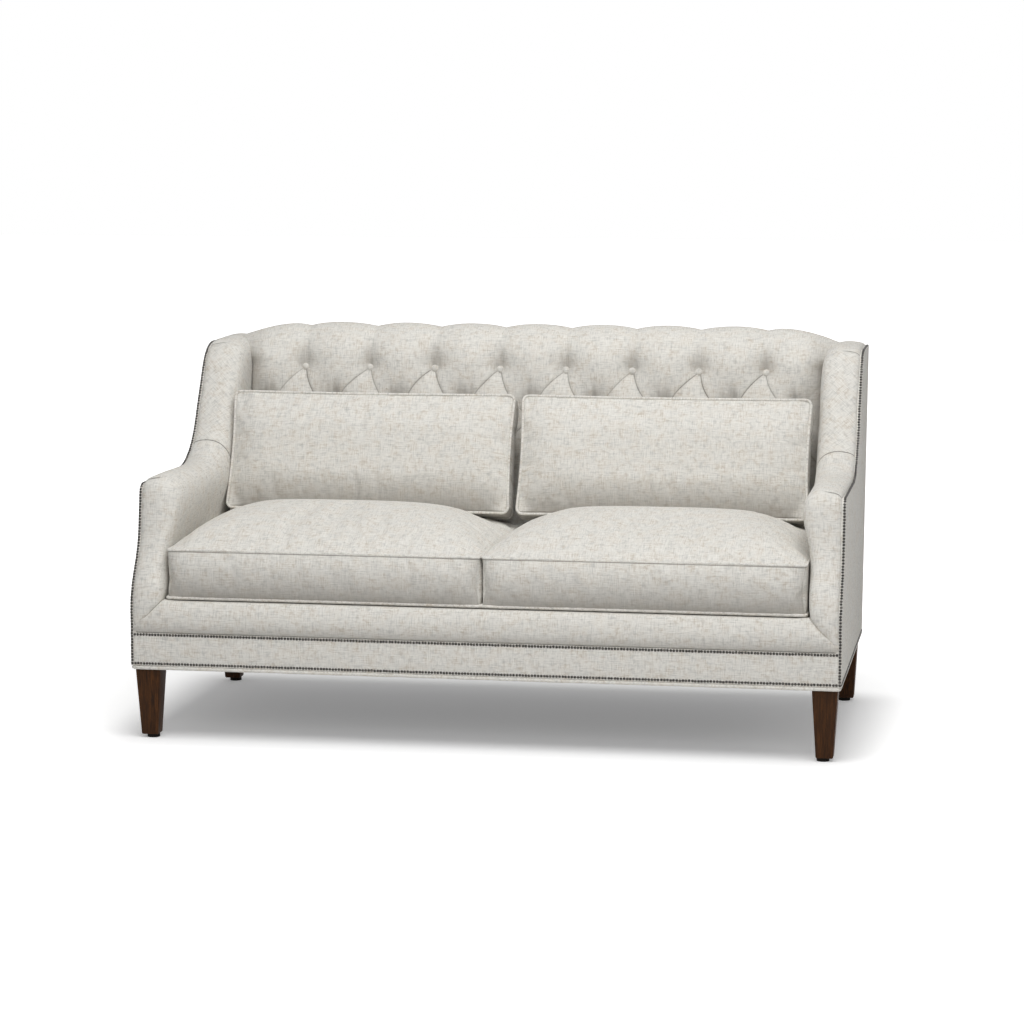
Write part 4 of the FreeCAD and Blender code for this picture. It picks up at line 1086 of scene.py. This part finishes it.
        # Above the buttons the face turns over the top rail and the pleats end; below them it is plain.
        pit = 1 - np.exp(-(near / 0.036) ** 1.35)
        over = step_up(up, button_up + 0.012, crest_up)
        behind = step_up(up, crest_up, end_up)
        under = np.clip(down - (self.rows - 1), 0, 1)
        deep = sizes.tuft_pit * (1 - over)
        full = (sizes.tuft_puff * (1 - over) + sizes.scallop * over * (1 - behind)) * (1 - 0.35 * under)
        pleated = step_up(down, 0.02, 0.07) * (1 - 0.9 * step_up(under, 0.1, 0.6))
        scale = sizes.button_pitch / math.pi
        gap = np.minimum(np.abs(one), np.abs(other)) * scale
        tuck = 0.0020 * np.exp(-(gap / 0.0042) ** 2) * pleated * step_up(near, 0.006, 0.016)
        strength = pleated * plain * (0.90 - 0.35 * step_up(near, 0.045, 0.095))
        # Painted crease shade along each pleat.
        shade = np.maximum(shade, 0.34 * np.exp(-(gap / 0.0065) ** 2) * pleated * plain)
        stands = deep * pit + full * swell - tuck - folds * (1 - over)
        return stands, (one * scale, other * scale, strength), shade * (1 - over)

    def make(self, sizes):
        low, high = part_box("tufted_back")
        line, out, away = self.profile()
        half = high.x
        columns, rows = round(2 * half / self.cell), round(away[-1] / self.cell)
        deselect()
        bpy.ops.mesh.primitive_grid_add(x_subdivisions=columns, y_subdivisions=rows, size=1)
        back = bpy.context.object
        back.name = back.data.name = "buttoned_back"
        flat = points(back)
        x, up = flat[:, 0] * 2 * half, (flat[:, 1] + 0.5) * away[-1]
        button_up = (self.top_button - self.foot).length
        crest_up = float(away[400 + 80])
        stands, pleats, shade = self.relief(sizes, x, up, button_up, crest_up, away[-1])
        place = np.stack([np.interp(up, away, line[:, i]) for i in (0, 1)], 1)
        facing = np.stack([np.interp(up, away, out[:, i]) for i in (0, 1)], 1)
        facing /= np.linalg.norm(facing, axis=1)[:, None]
        end = np.clip((np.abs(x) - (half - self.end_round)) / self.end_round, 0, 1)
        tuck_in = 1 - np.sqrt(np.clip(1 - end ** 2, 0, 1))
        over = step_up(up, button_up, crest_up)
        behind_wing = step_up(place[:, 1], 0.835, 0.900)
        x = x + np.sign(x) * 0.057 * behind_wing * step_up(np.abs(x), 0.60, half)
        slope_down = np.clip((np.abs(x) - 0.62) / 0.175, 0, 1) ** 1.5
        stands = stands * (1 - 0.55 * tuck_in) - tuck_in * 0.012 * (1 - over) - slope_down * 0.042 * over
        stands += smooth_noise(np.stack([x, up, x * 0], 1), 0.11, 7) * 0.0010 * (1 - over)
        spots = np.stack([x, place[:, 0] + facing[:, 0] * stands, place[:, 1] + facing[:, 1] * stands], 1)
        put_points(back, spots)
        # Painted shade: dark lines along the pleats, the pits, fans and pleats darker, and darker towards
        # both ends beside the wings.
        note_seam(back, *pleats)
        note_shade(back, shade + 0.66 * step_up(np.abs(x), half - 0.055, half) * (1 - over))
        with editing(back):
            bpy.ops.mesh.normals_make_consistent(inside=False)
            bpy.ops.mesh.select_mode(type="EDGE")
            bpy.ops.mesh.select_all(action="DESELECT")
            bpy.ops.mesh.select_non_manifold(extend=False)
            bpy.ops.mesh.extrude_edges_move(TRANSFORM_OT_translate={"value": (0, 0.002, 0)})
        ring = read(back.data.vertices, "select", bool)
        spots = points(back)
        spots[ring, 1] = self.rear.x - (self.rear.y - spots[ring, 2]) * REAR_LEAN
        put_points(back, spots)
        bpy.ops.object.mode_set(mode="EDIT")
        bpy.ops.mesh.edge_face_add()
        bpy.ops.mesh.select_mode(type="FACE")
        face_outwards()
        bpy.ops.object.mode_set(mode="OBJECT")

        def rule(spots, facing, middles, corners):
            over_top = np.where(facing[:, 2] > 0.7, spots[:, 1], 0)
            return np.stack([spots[:, 0], spots[:, 2] * 1.03 + over_top], 1)

        lay_weave(back, rule, seed=41)
        complete(back, finish("linen_with_painted_shade"), stands_for=["tufted_back"])


class SETTEE_OT_buttons(Step, bpy.types.Operator):
    """Cover the buttons of the back: one is modelled, the rest are copies of it"""

    bl_idname = "settee.buttons"
    bl_label = "Covered Buttons"

    radius, neck, stands_out, sags = 0.0094, -0.0035, 0.0068, 0.003

    def one(self):
        deselect()
        bpy.ops.mesh.primitive_uv_sphere_add(segments=28, ring_count=18, radius=self.radius)
        button = bpy.context.object
        with editing(button):
            pick_points(button, lambda place: place.z < self.neck)
            bpy.ops.transform.resize(value=(0.72, 0.72, 0.35), center_override=(0, 0, self.neck))
            bpy.ops.mesh.select_all(action="SELECT")
            bpy.ops.transform.resize(value=(1, 1, 0.62), center_override=(0, 0, 0))
            pick_points(button, lambda place: 0.0005 > place.z > -0.0012)
            bpy.ops.transform.resize(value=(1.04, 1.04, 1), center_override=(0, 0, 0))
        return button

    def make(self, sizes):
        back = SETTEE_OT_tufted_back
        slope = (back.top_button - back.foot).normalized()
        model = self.one()
        tilt = Matrix.Rotation(math.radians(90) - math.atan2(slope.x, slope.y), 4, "X")
        copies = []
        random = np.random.default_rng(9)
        for x, height in back.button_spots(back, sizes):
            button = model.copy()
            button.data = model.data.copy()
            bpy.context.scene.collection.objects.link(button)
            share = (height - back.foot.y) / (back.top_button.y - back.foot.y)
            y = back.foot.x + share * (back.top_button.x - back.foot.x)
            spin = Matrix.Rotation(random.uniform(0, math.tau), 4, "Z")
            out = Vector((0, -slope.y, slope.x)) * self.stands_out
            spot = Vector((x, y, height - self.sags)) + out
            button.data.transform(Matrix.Translation(spot) @ tilt @ spin)
            copies.append(button)
        bpy.data.objects.remove(model)
        buttons = joined("covered_buttons", copies)
        lay_weave(buttons, seed=42)
        # Painted shade: the buttons' cloth a little darker all over.
        note_shade(buttons, np.full(len(buttons.data.vertices), 0.12))
        complete(buttons, finish("linen_with_painted_shade"), stands_for=["back_buttons"])


class SETTEE_OT_base_welt(Step, bpy.types.Operator):
    """Run the covered cord round the underside of the body"""

    bl_idname = "settee.base_welt"
    bl_label = "Base Welt"

    def make(self, sizes):
        low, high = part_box("base_welt")
        radius, out = sizes.welt_radius * 1.2, PLUMP
        ring = rounded_ring((high.x - low.x) / 2 - radius + out, (high.y - low.y) / 2 - radius + out,
                            0.008, 0.006)
        ring[:, 1] += (low.y + high.y) / 2
        ring[:, 2] = high.z - radius
        ring[:, 2] += smooth_noise(ring, 0.09, 4) * 0.0004
        piping("base_cord", [(ring, radius)], 51, BODY, "base_welt")


def weave_cord(piece, path, seed):
    """Lay the cloth on a cord: round it and along it, on the bias as it is cut."""
    steps = np.roll(path, -1, axis=0) - path
    lengths = np.linalg.norm(steps, axis=1)
    run = np.concatenate([[0], np.cumsum(lengths)])
    ways = steps / np.maximum(lengths, 1e-9)[:, None]

    def rule(spots, facing, middles, corners):
        nearest = nearest_point(middles, path)
        past = spots - path[nearest]
        ahead = run[nearest] + (past * ways[nearest]).sum(1)
        round_it = past[:, 2] + past[:, 0] * 0.3
        return np.stack([ahead - round_it, ahead + round_it], 1) * math.sqrt(0.5)

    lay_weave(piece, rule, seed)


def piping(name, rings, seed, body, node, place=Matrix()):
    """Covered cords along (ring, radius) lines, as one piece."""
    parts = []
    for number, (ring, radius) in enumerate(rings):
        part = cord(f"{name}_{number}", ring, radius)
        weave_cord(part, ring, seed + number)
        part.data.transform(place)
        parts.append(part)
    complete(joined(name, parts), finish("linen"), body, [node])


class SETTEE_OT_nails(Step, bpy.types.Operator):
    """Set the dome nails head to head: one is modelled, the rest are copies of it"""

    bl_idname = "settee.nails"
    bl_label = "Dome Nails"

    rise, lift, below_border, set_in = 0.0022, 0.006, 0.0045, 0.0005

    def one(self, sizes):
        """One domed head, its flat back at the origin and its crown up."""
        deselect()
        bpy.ops.mesh.primitive_circle_add(vertices=sizes.nail_sides, radius=sizes.nail_radius,
                                          fill_type="NGON")
        head = bpy.context.object
        before = 1.0
        with editing(head):
            for share, height in ((0.88, 0.45), (0.62, 0.34), (0.30, 0.16)):
                up = (0, 0, height * self.rise)
                bpy.ops.mesh.extrude_region_move(TRANSFORM_OT_translate={"value": up})
                scale = share / before
                bpy.ops.transform.resize(value=(scale, scale, 1), center_override=(0, 0, 0))
                before = share
            bpy.ops.mesh.poke(offset=0.05 * self.rise)
            face_outwards()
        return head

    def set_nails(self, name, places, model, node):
        """Copies of the nail at (point, facing) places, as one piece."""
        shape = points(model)
        faces = [tuple(face.vertices) for face in model.data.polygons]
        random = np.random.default_rng(len(places))
        heads = []
        for point, facing in places:
            turn = Vector((0, 0, 1)).rotation_difference(facing).to_matrix()
            spin = Matrix.Rotation(random.uniform(0, math.tau), 3, "Z")
            small = Vector(random.normal(0, 0.00022, 3))
            head = np.array(turn @ spin) @ shape.T
            heads.append(head.T + np.array(point + small - facing * small.dot(facing)))
        mesh = bpy.data.meshes.new(name)
        every = [tuple(corner + number * len(shape) for corner in face)
                 for number in range(len(places)) for face in faces]
        mesh.from_pydata(np.concatenate(heads).tolist(), [], every)
        nails = bpy.data.objects.new(name, mesh)
        bpy.context.scene.collection.objects.link(nails)
        complete(nails, finish("nail"), stands_for=[node], angle=75)

    def make(self, sizes):
        model = self.one(sizes)
        pitch, radius = sizes.nail_pitch, sizes.nail_radius
        middle = SIDE - self.set_in
        lowest = UNDERSIDE + self.lift
        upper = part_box("lower_band")[1].z - self.below_border
        reach = middle - pitch
        count = int(2 * reach // pitch)
        rows = [(Vector((-reach + 2 * reach * i / count, FRONT, height)), Vector((0, -1, 0)))
                for height in (lowest, upper) for i in range(count + 1)]
        self.set_nails("front_nail_heads", rows, model, "front_nails")
        marks = np.arange(self.lift, EDGE_LENGTH, pitch)
        edge = edge_at(marks)[0]
        side_count = int((rear_line(lowest) - 2 * pitch) // pitch)
        for hand, sign in HANDS.items():
            arm = []
            for y, z, heading, hollow in edge:
                if y < rear_line(z) - pitch / 2:
                    facing = Vector((0, -math.sin(heading), math.cos(heading)))
                    clear = radius ** 2 / (2 * hollow) if hollow else 0
                    arm.append((Vector((sign * middle, y + FRONT, z)) + facing * clear, facing))
            self.set_nails(f"arm_nail_heads_{hand}", arm, model, f"arm_nails_{hand}")
            side = [(Vector((sign * (SIDE + PLUMP), FRONT + pitch * (i + 1), lowest)), Vector((sign, 0, 0)))
                    for i in range(side_count)]
            self.set_nails(f"side_nail_heads_{hand}", side, model, f"side_nails_{hand}")
        bpy.data.objects.remove(model)


class SETTEE_OT_legs(Step, bpy.types.Operator):
    """Shape the tapered legs: straight in front, raked at the back"""

    bl_idname = "settee.legs"
    bl_label = "Legs"

    top, foot, rake, spread = 0.061, 0.040, 0.026, 0.004

    def make(self, sizes):
        for end, back in (("front", 0.0), ("rear", self.rake)):
            for hand, sign in HANDS.items():
                node = f"leg_{end}_{hand}"
                low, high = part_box(node)
                centre = Vector(((low.x + high.x) / 2 + sign * self.spread, low.y + self.top / 2, 0))
                half = Vector((self.top / 2, self.top / 2, 0))
                leg = block(f"{end}_leg_{hand}", centre - half + Vector((0, 0, low.z)),
                            centre + half + Vector((0, 0, high.z)))
                ratio = self.foot / self.top
                with editing(leg):
                    pick_faces(leg, lambda middle, normal: normal.z < -0.5)
                    bpy.ops.transform.resize(value=(ratio, ratio, 1), center_override=centre)
                    bpy.ops.transform.translate(value=(0, back, 0))
                    bpy.ops.mesh.bevel(offset=0.003, segments=2, affect="EDGES")
                modify(leg, "BEVEL", width=0.0022, segments=3, limit_method="ANGLE",
                       angle_limit=math.radians(50))
                complete(leg, finish("leg"), stands_for=[node], angle=40)


def blown(piece, held, pressure, slack, cap, limits):
    """Blow a stuffed piece up with the cloth solver. Held points stay, the rest may move up to a cap."""
    start = points(piece)
    group = piece.vertex_groups.new(name="held")
    for weight in (1.0, 0.6, 0.3):
        chosen = np.nonzero(np.isclose(held, weight))[0]
        if len(chosen):
            group.add(chosen.tolist(), weight, "REPLACE")
    only(piece)
    cloth = piece.modifiers.new("stuffing", "CLOTH")
    settings = cloth.settings
    settings.quality = 6
    settings.mass = 0.3
    settings.tension_stiffness = settings.compression_stiffness = 18
    settings.shear_stiffness = 6
    settings.bending_stiffness = 0.6
    settings.vertex_group_mass = "held"
    settings.pin_stiffness = 1
    settings.use_pressure = True
    settings.uniform_pressure_force = pressure
    settings.shrink_min = slack
    settings.effector_weights.gravity = 0
    cloth.collision_settings.use_collision = False
    cloth.point_cache.frame_start, cloth.point_cache.frame_end = 1, 20
    for number in range(1, 21):
        bpy.context.scene.frame_set(number)
    bpy.ops.object.modifier_apply(modifier="stuffing")
    bpy.context.scene.frame_set(1)
    moved = points(piece) - start
    far = np.maximum(np.linalg.norm(moved, axis=1), 1e-9)
    spots = start + moved * (np.minimum(1, cap / far))[:, None]
    put_points(piece, np.clip(spots, *limits))
    piece.vertex_groups.clear()
    return piece


def round_corners(flat, half, corner):
    """Bring the points of a box's four corners in to a round, as seen from above."""
    over = np.abs(flat) - (half - corner)
    scale = over.max(1) / np.maximum(np.linalg.norm(over, axis=1), 1e-9)
    rounded = np.sign(flat) * (half - corner + np.maximum(over, 0) * scale[:, None])
    return np.where((over > 0).all(1)[:, None], rounded, flat)


def seam_ring(half, corner, spacing, pull, middle, level, outside=0.0):
    """The line of a cord round a cushion's seam."""
    ring = rounded_ring(*(half + outside), corner, spacing)
    ring[:, :2] = pulled(ring[:, :2], half, *pull) + middle
    ring[:, 2] = level
    return ring


class SETTEE_OT_seat_cushions(Step, bpy.types.Operator):
    """Sew and stuff the two seat cushions: crowned boxes with a cord round both seams"""

    bl_idname = "settee.seat_cushions"
    bl_label = "Seat Cushions"

    cell, corner, crest, pressed_from, cap = 0.0085, 0.010, 0.46, 0.752, 0.022
    seam, flattened, side_room, joint_room = 0.4544, 0.040, 0.001, 0.0035
    start, pull, pull_out, ears = 0.74, (0.0015, 0.003), 0.0105, 0.0045

    def crown_along(self, share, sizes):
        """Rise above the seam from front to back, pressed down where the pillow stands."""
        front = 1 - (1 - np.clip(share / self.crest, 0, 1)) ** 2.6
        rear = np.clip((share - self.crest) / (self.pressed_from - self.crest), 0, 1) ** 1.8
        rise = sizes.seat_crown * front ** 0.75 * (1 - rear) + rear * self.flattened
        last = np.clip((1 - share) / (1 - self.pressed_from), 0, 1) ** 0.8
        return np.where(share > self.pressed_from, self.flattened * last, rise)

    def make(self, sizes):
        for seed, (hand, sign) in enumerate(HANDS.items(), 61):
            node = f"seat_cushion_{hand}"
            inset = Vector((self.side_room, self.side_room, 0))
            low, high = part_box(node)
            low, high = low + inset, high - inset
            (high if sign < 0 else low).x -= sign * self.joint_room
            cuts = (round((high.x - low.x) / self.cell), round((high.y - low.y) / self.cell),
                    round((self.seam - low.z) / self.cell))
            cushion = squared_box(f"seat_cushion_cover_{hand}", low, (high.x, high.y, self.seam), cuts)
            spots = points(cushion)
            ends = np.array([low, high])[:, :2]
            middle, half = ends.mean(0), (ends[1] - ends[0]) / 2
            flat = spots[:, :2] - middle
            out = np.abs(flat) > half - 1e-5
            top, bottom = spots[:, 2] > self.seam - 1e-5, spots[:, 2] < low.z + 1e-5
            level = np.clip((spots[:, 2] - low.z) / (self.seam - low.z), 0, 1)
            flat = pulled(round_corners(flat, half, self.corner), half, *self.pull)
            near = (np.abs(flat) / half)[:, ::-1] ** 10
            full = np.stack([np.full(len(flat), 0.002), np.where(flat[:, 1] < 0, self.pull_out, 0.003)], 1)
            belly = np.sin(math.pi * level) ** 0.7
            flat += np.sign(flat) * (full - (full + self.ears) * near) * belly[:, None] * out
            spots[:, :2] = flat + middle
            side = np.clip(1 - np.abs(flat[:, 0]) / half[0], 0, 1)
            inner = sign * flat[:, 0] < 0
            profile = (1 - (1 - side) ** np.where(inner, 3.3, 3.8)) ** 0.66
            share = np.clip((flat[:, 1] + half[1]) / (2 * half[1]), 0, 1)
            spots[:, 2] += np.where(top, self.crown_along(share, sizes) * profile * self.start, 0)
            put_points(cushion, spots)
            # Painted shade: the front and rear walls darker towards their bottom.
            note_shade(cushion, out[:, 1] * (1 - level) ** 1.7 * 0.98 * ~bottom)
            # Painted shadow: a dark line on the walls just under the upper cord.
            line = spots[:, 2] - self.seam + 0.0034
            note_seam(cushion, line, np.ones(len(line)), np.where(bottom, 0, 0.8))
            held = np.where((top & out.any(1)) | bottom, 1.0, 0.0)
            lowest = (low.x - 0.001, low.y - 0.0125, low.z - 0.0005)
            highest = (high.x + 0.001, high.y + 0.003, 0.5505)
            blown(cushion, held, 3.2, -0.02, self.cap, (lowest, highest))
            self.press(cushion, sizes)
            modify(cushion, "SUBSURF", levels=1, render_levels=1)
            lay_weave(cushion, seed=seed)
            complete(cushion, finish("linen_with_painted_shade"), node,
                     [node, f"seat_cushion_core_{hand}"])
            deck = seam_ring(half + 0.0005, self.corner, 0.007, self.pull, middle,
                             low.z + sizes.welt_radius - 0.0002)
            upper = seam_ring(half - 0.001, self.corner, 0.007, self.pull, middle, self.seam)
            upper[:, 2] += smooth_noise(upper, 0.14, 2) * 0.0012
            rings = [(deck, sizes.welt_radius * 1.08), (upper, sizes.welt_radius * 0.8)]
            piping(f"seat_cushion_cords_{hand}", rings, seed, node, f"seat_cushion_welts_{hand}")

    def press(self, cushion, sizes):
        """Keep the cushion's rear below the leaning pillow."""
        spots = points(cushion)
        under = (0.4935 - (spots[:, 1] - 0.0355) * math.tan(sizes.pillow_lean)).clip(0.44, 1)
        pressed = spots[:, 1] > 0.02
        spots[pressed, 2] = np.minimum(spots[pressed, 2], under[pressed])
        put_points(cushion, spots)


class SETTEE_OT_lumbar_pillows(Step, bpy.types.Operator):
    """Sew and stuff the two lumbar pillows and lean them against the back"""

    bl_idname = "settee.lumbar_pillows"
    bl_label = "Lumbar Pillows"

    width, height, border, corner, cell = 0.721, 0.3025, 0.060, 0.016, 0.007
    foot = Vector((0, 0.0355, 0.4990))
    centres = {"left": -0.3785, "right": 0.3625}
    pull, rear_swell, cap = (0.006, 0.0025), 0.030, 0.022

    def make(self, sizes):
        lean = Matrix.Rotation(math.pi / 2 - sizes.pillow_lean, 4, "X")
        back = self.border * Vector((0, math.cos(sizes.pillow_lean), -math.sin(sizes.pillow_lean)))
        half = np.array([self.width / 2, self.height / 2])
        middle = np.array([0, half[1]])
        cuts = (round(self.width / self.cell), round(self.height / self.cell),
                round(self.border / self.cell))
        for seed, hand in enumerate(HANDS, 71):
            node = f"lumbar_pillow_{hand}"
            pillow = squared_box(f"lumbar_pillow_cover_{hand}", (-half[0], 0, 0),
                                 (half[0], self.height, self.border), cuts)
            spots = points(pillow)
            flat = spots[:, :2] - middle
            out = np.abs(flat) > half - 1e-5
            face, rear = spots[:, 2] > self.border - 1e-5, spots[:, 2] < 1e-5
            room = np.clip(1 - np.abs(round_corners(flat, half, self.corner)) / half, 0, 1)
            swell = ((1 - (1 - room[:, 0]) ** 5) * (1 - (1 - room[:, 1]) ** 2.6)) ** 0.7
            depth = np.clip(spots[:, 2] / self.border, 0, 1)
            flat = pulled(round_corners(flat, half, self.corner), half, *self.pull)
            flat += np.sign(flat) * (0.004 * np.sin(math.pi * depth) ** 0.7)[:, None] * out
            spots[:, :2] = flat + middle
            # Painted shade: the front face darker towards its foot, and every other side a little darker,
            # darkest along the bottom.
            low_down = np.clip(1 - spots[:, 1] / 0.092, 0, 1) ** 1.35
            deep = 0.95 * low_down * face * (1 - step_up(np.abs(spots[:, 0]), 0.31, 0.36))
            note_shade(pillow, deep + ~face * np.where(spots[:, 1] < 0.02, 1.0, 0.3))
            # Painted crease shade: a dark line round the face just inside the cord, fainter along the top.
            line = np.where(face, (half - np.abs(flat)).min(1) - 0.0042, -0.012)
            note_seam(pillow, line, np.ones(len(line)), np.where(spots[:, 1] > 0.28, 0.2, 0.45))
            spots[:, 2] += np.where(face, swell * sizes.pillow_crown * 0.9, 0)
            spots[:, 2] -= np.where(rear, swell * self.rear_swell, 0)
            put_points(pillow, spots)
            held = np.where((face | rear) & out.any(1), 1.0, 0.0)
            limits = ((-half[0] - 0.003, -0.003, -0.034), (half[0] + 0.003, self.height + 0.003, 0.098))
            blown(pillow, held, 3.0, -0.015, self.cap, limits)
            modify(pillow, "SUBSURF", levels=1, render_levels=1)
            lay_weave(pillow, seed=seed)
            place = Matrix.Translation(self.foot + back + Vector((self.centres[hand], 0, 0))) @ lean
            pillow.data.transform(place)
            complete(pillow, finish("linen_with_painted_shade"), node, [node])
            rings = []
            for number, level in enumerate((0.0, self.border)):
                ring = seam_ring(half, self.corner, 0.006, self.pull, middle, level, outside=0.0005)
                ring[:, 2] += smooth_noise(ring, 0.12, seed + number) * 0.0009
                rings.append((ring, sizes.welt_radius * 0.9))
            piping(f"lumbar_pillow_cords_{hand}", rings, seed, node, f"pillow_welts_{hand}", place)


class SETTEE_OT_stage(Step, bpy.types.Operator):
    """Set the pale floor with its painted glow and shadow, the soft lamps, the white surround and the
    camera
    """

    bl_idname = "settee.stage"
    bl_label = "Stage"

    sky, shadow_ahead, shadow_half = 0.25, 0.07, (0.82, 0.39, 0)
    lamps = (("top_lamp", (0.3, -1.5, 3.6), (0, 0.05, 0.4), (3.2, 2.4), 96),
             ("front_lamp", (1.0, -4.5, 2.8), (0, 0, 0.5), (3.0, 1.8), 35),
             ("side_lamp", (4.4, -1.6, 2.2), (-0.5, 0, 0.5), (2.4, 2.0), 13))

    def lamp(self, name, place, aim, size, power):
        lamp = bpy.data.lights.new(name, "AREA")
        lamp.shape = "RECTANGLE"
        lamp.size, lamp.size_y = size
        lamp.energy = power
        holder = bpy.data.objects.new(name, lamp)
        bpy.context.scene.collection.objects.link(holder)
        holder.location = place
        holder.rotation_euler = (Vector(aim) - Vector(place)).to_track_quat("-Z", "Y").to_euler()

    def make(self, sizes):
        deselect()
        bpy.ops.mesh.primitive_plane_add(size=60, location=(0, 0, 0))
        floor = bpy.context.object
        floor.name = "floor"
        pale = Finish("pale_floor", Roughness=0.9, Emission_Strength=1.0)

        def vectors(kind, *values, output=0):
            return pale.add("ShaderNodeVectorMath", {"operation": kind}, dict(enumerate(values)), output)

        # Painted light and shadow: the floor glows for the camera alone, and less beside and under the
        # settee, which paints a shadow there on top of the one it casts.
        beside = vectors("ABSOLUTE", vectors("ADD", pale.object_place(), (0, self.shadow_ahead, 0)))
        beside = vectors("MAXIMUM", vectors("SUBTRACT", beside, self.shadow_half), (0, 0, 0))
        far = vectors("LENGTH", beside, output="Value")
        white = pale.between(far, 0.0, 0.17) * 0.30 + pale.between(far, 0.1, 1.6) * 0.60 + 0.22
        glow = pale.mix(pale.seen() * white, (0, 0, 0), (1, 1, 1), clamped=False)
        floor.data.materials.append(pale.ends(Base_Color=(0.90, 0.90, 0.90), Emission_Color=glow))
        surround = Finish("white_surround", "worlds", "Background", Color=(1, 1, 1))
        bpy.context.scene.world = surround.ends(Strength=surround.seen() * (1 - self.sky) + self.sky)
        for lamp in self.lamps:
            self.lamp(*lamp)
        camera = bpy.data.cameras.new("photo_camera")
        camera.sensor_width = 36
        camera.lens = 105.82
        camera.clip_end = 200
        holder = bpy.data.objects.new("photo_camera", camera)
        bpy.context.scene.collection.objects.link(holder)
        holder.location = (1.2787, -7.2544, 1.4634)
        holder.rotation_euler = (math.radians(82.605), 0, math.radians(10.007))
        bpy.context.scene.camera = holder
        bpy.context.scene.view_settings.view_transform = "Standard"


class SETTEE_PT_panel(bpy.types.Panel):
    """Lists the settee's pieces in the sidebar."""

    bl_idname = "SETTEE_PT_panel"
    bl_label = "Settee"
    bl_space_type = "VIEW_3D"
    bl_region_type = "UI"
    bl_category = "Settee"

    def draw(self, context):
        for group in (context.scene.settee_sizes, context.scene.settee_colours):
            column = self.layout.column(align=True)
            for name in group.bl_rna.properties.keys():
                if name not in ("rna_type", "name"):
                    column.prop(group, name)
        for step in STEPS:
            self.layout.operator(step.bl_idname)


STEPS = (
    SETTEE_OT_frame,
    SETTEE_OT_stage,
    SETTEE_OT_inside,
    SETTEE_OT_lower_band,
    SETTEE_OT_front_border,
    SETTEE_OT_outer_panels,
    SETTEE_OT_arm_pads,
    SETTEE_OT_tufted_back,
    SETTEE_OT_buttons,
    SETTEE_OT_base_welt,
    SETTEE_OT_nails,
    SETTEE_OT_legs,
    SETTEE_OT_seat_cushions,
    SETTEE_OT_lumbar_pillows,
)
CLASSES = (SETTEE_PG_sizes, SETTEE_PG_colours, *STEPS, SETTEE_PT_panel)


def register():
    for kind in CLASSES:
        bpy.utils.register_class(kind)
    bpy.types.Scene.settee_sizes = PointerProperty(type=SETTEE_PG_sizes)
    bpy.types.Scene.settee_colours = PointerProperty(type=SETTEE_PG_colours)


def unregister():
    del bpy.types.Scene.settee_colours
    del bpy.types.Scene.settee_sizes
    for kind in reversed(CLASSES):
        bpy.utils.unregister_class(kind)


def main():
    register()
    for step in STEPS:
        group, name = step.bl_idname.split(".")
        getattr(getattr(bpy.ops, group), name)()


if __name__ == "__main__":
    main()
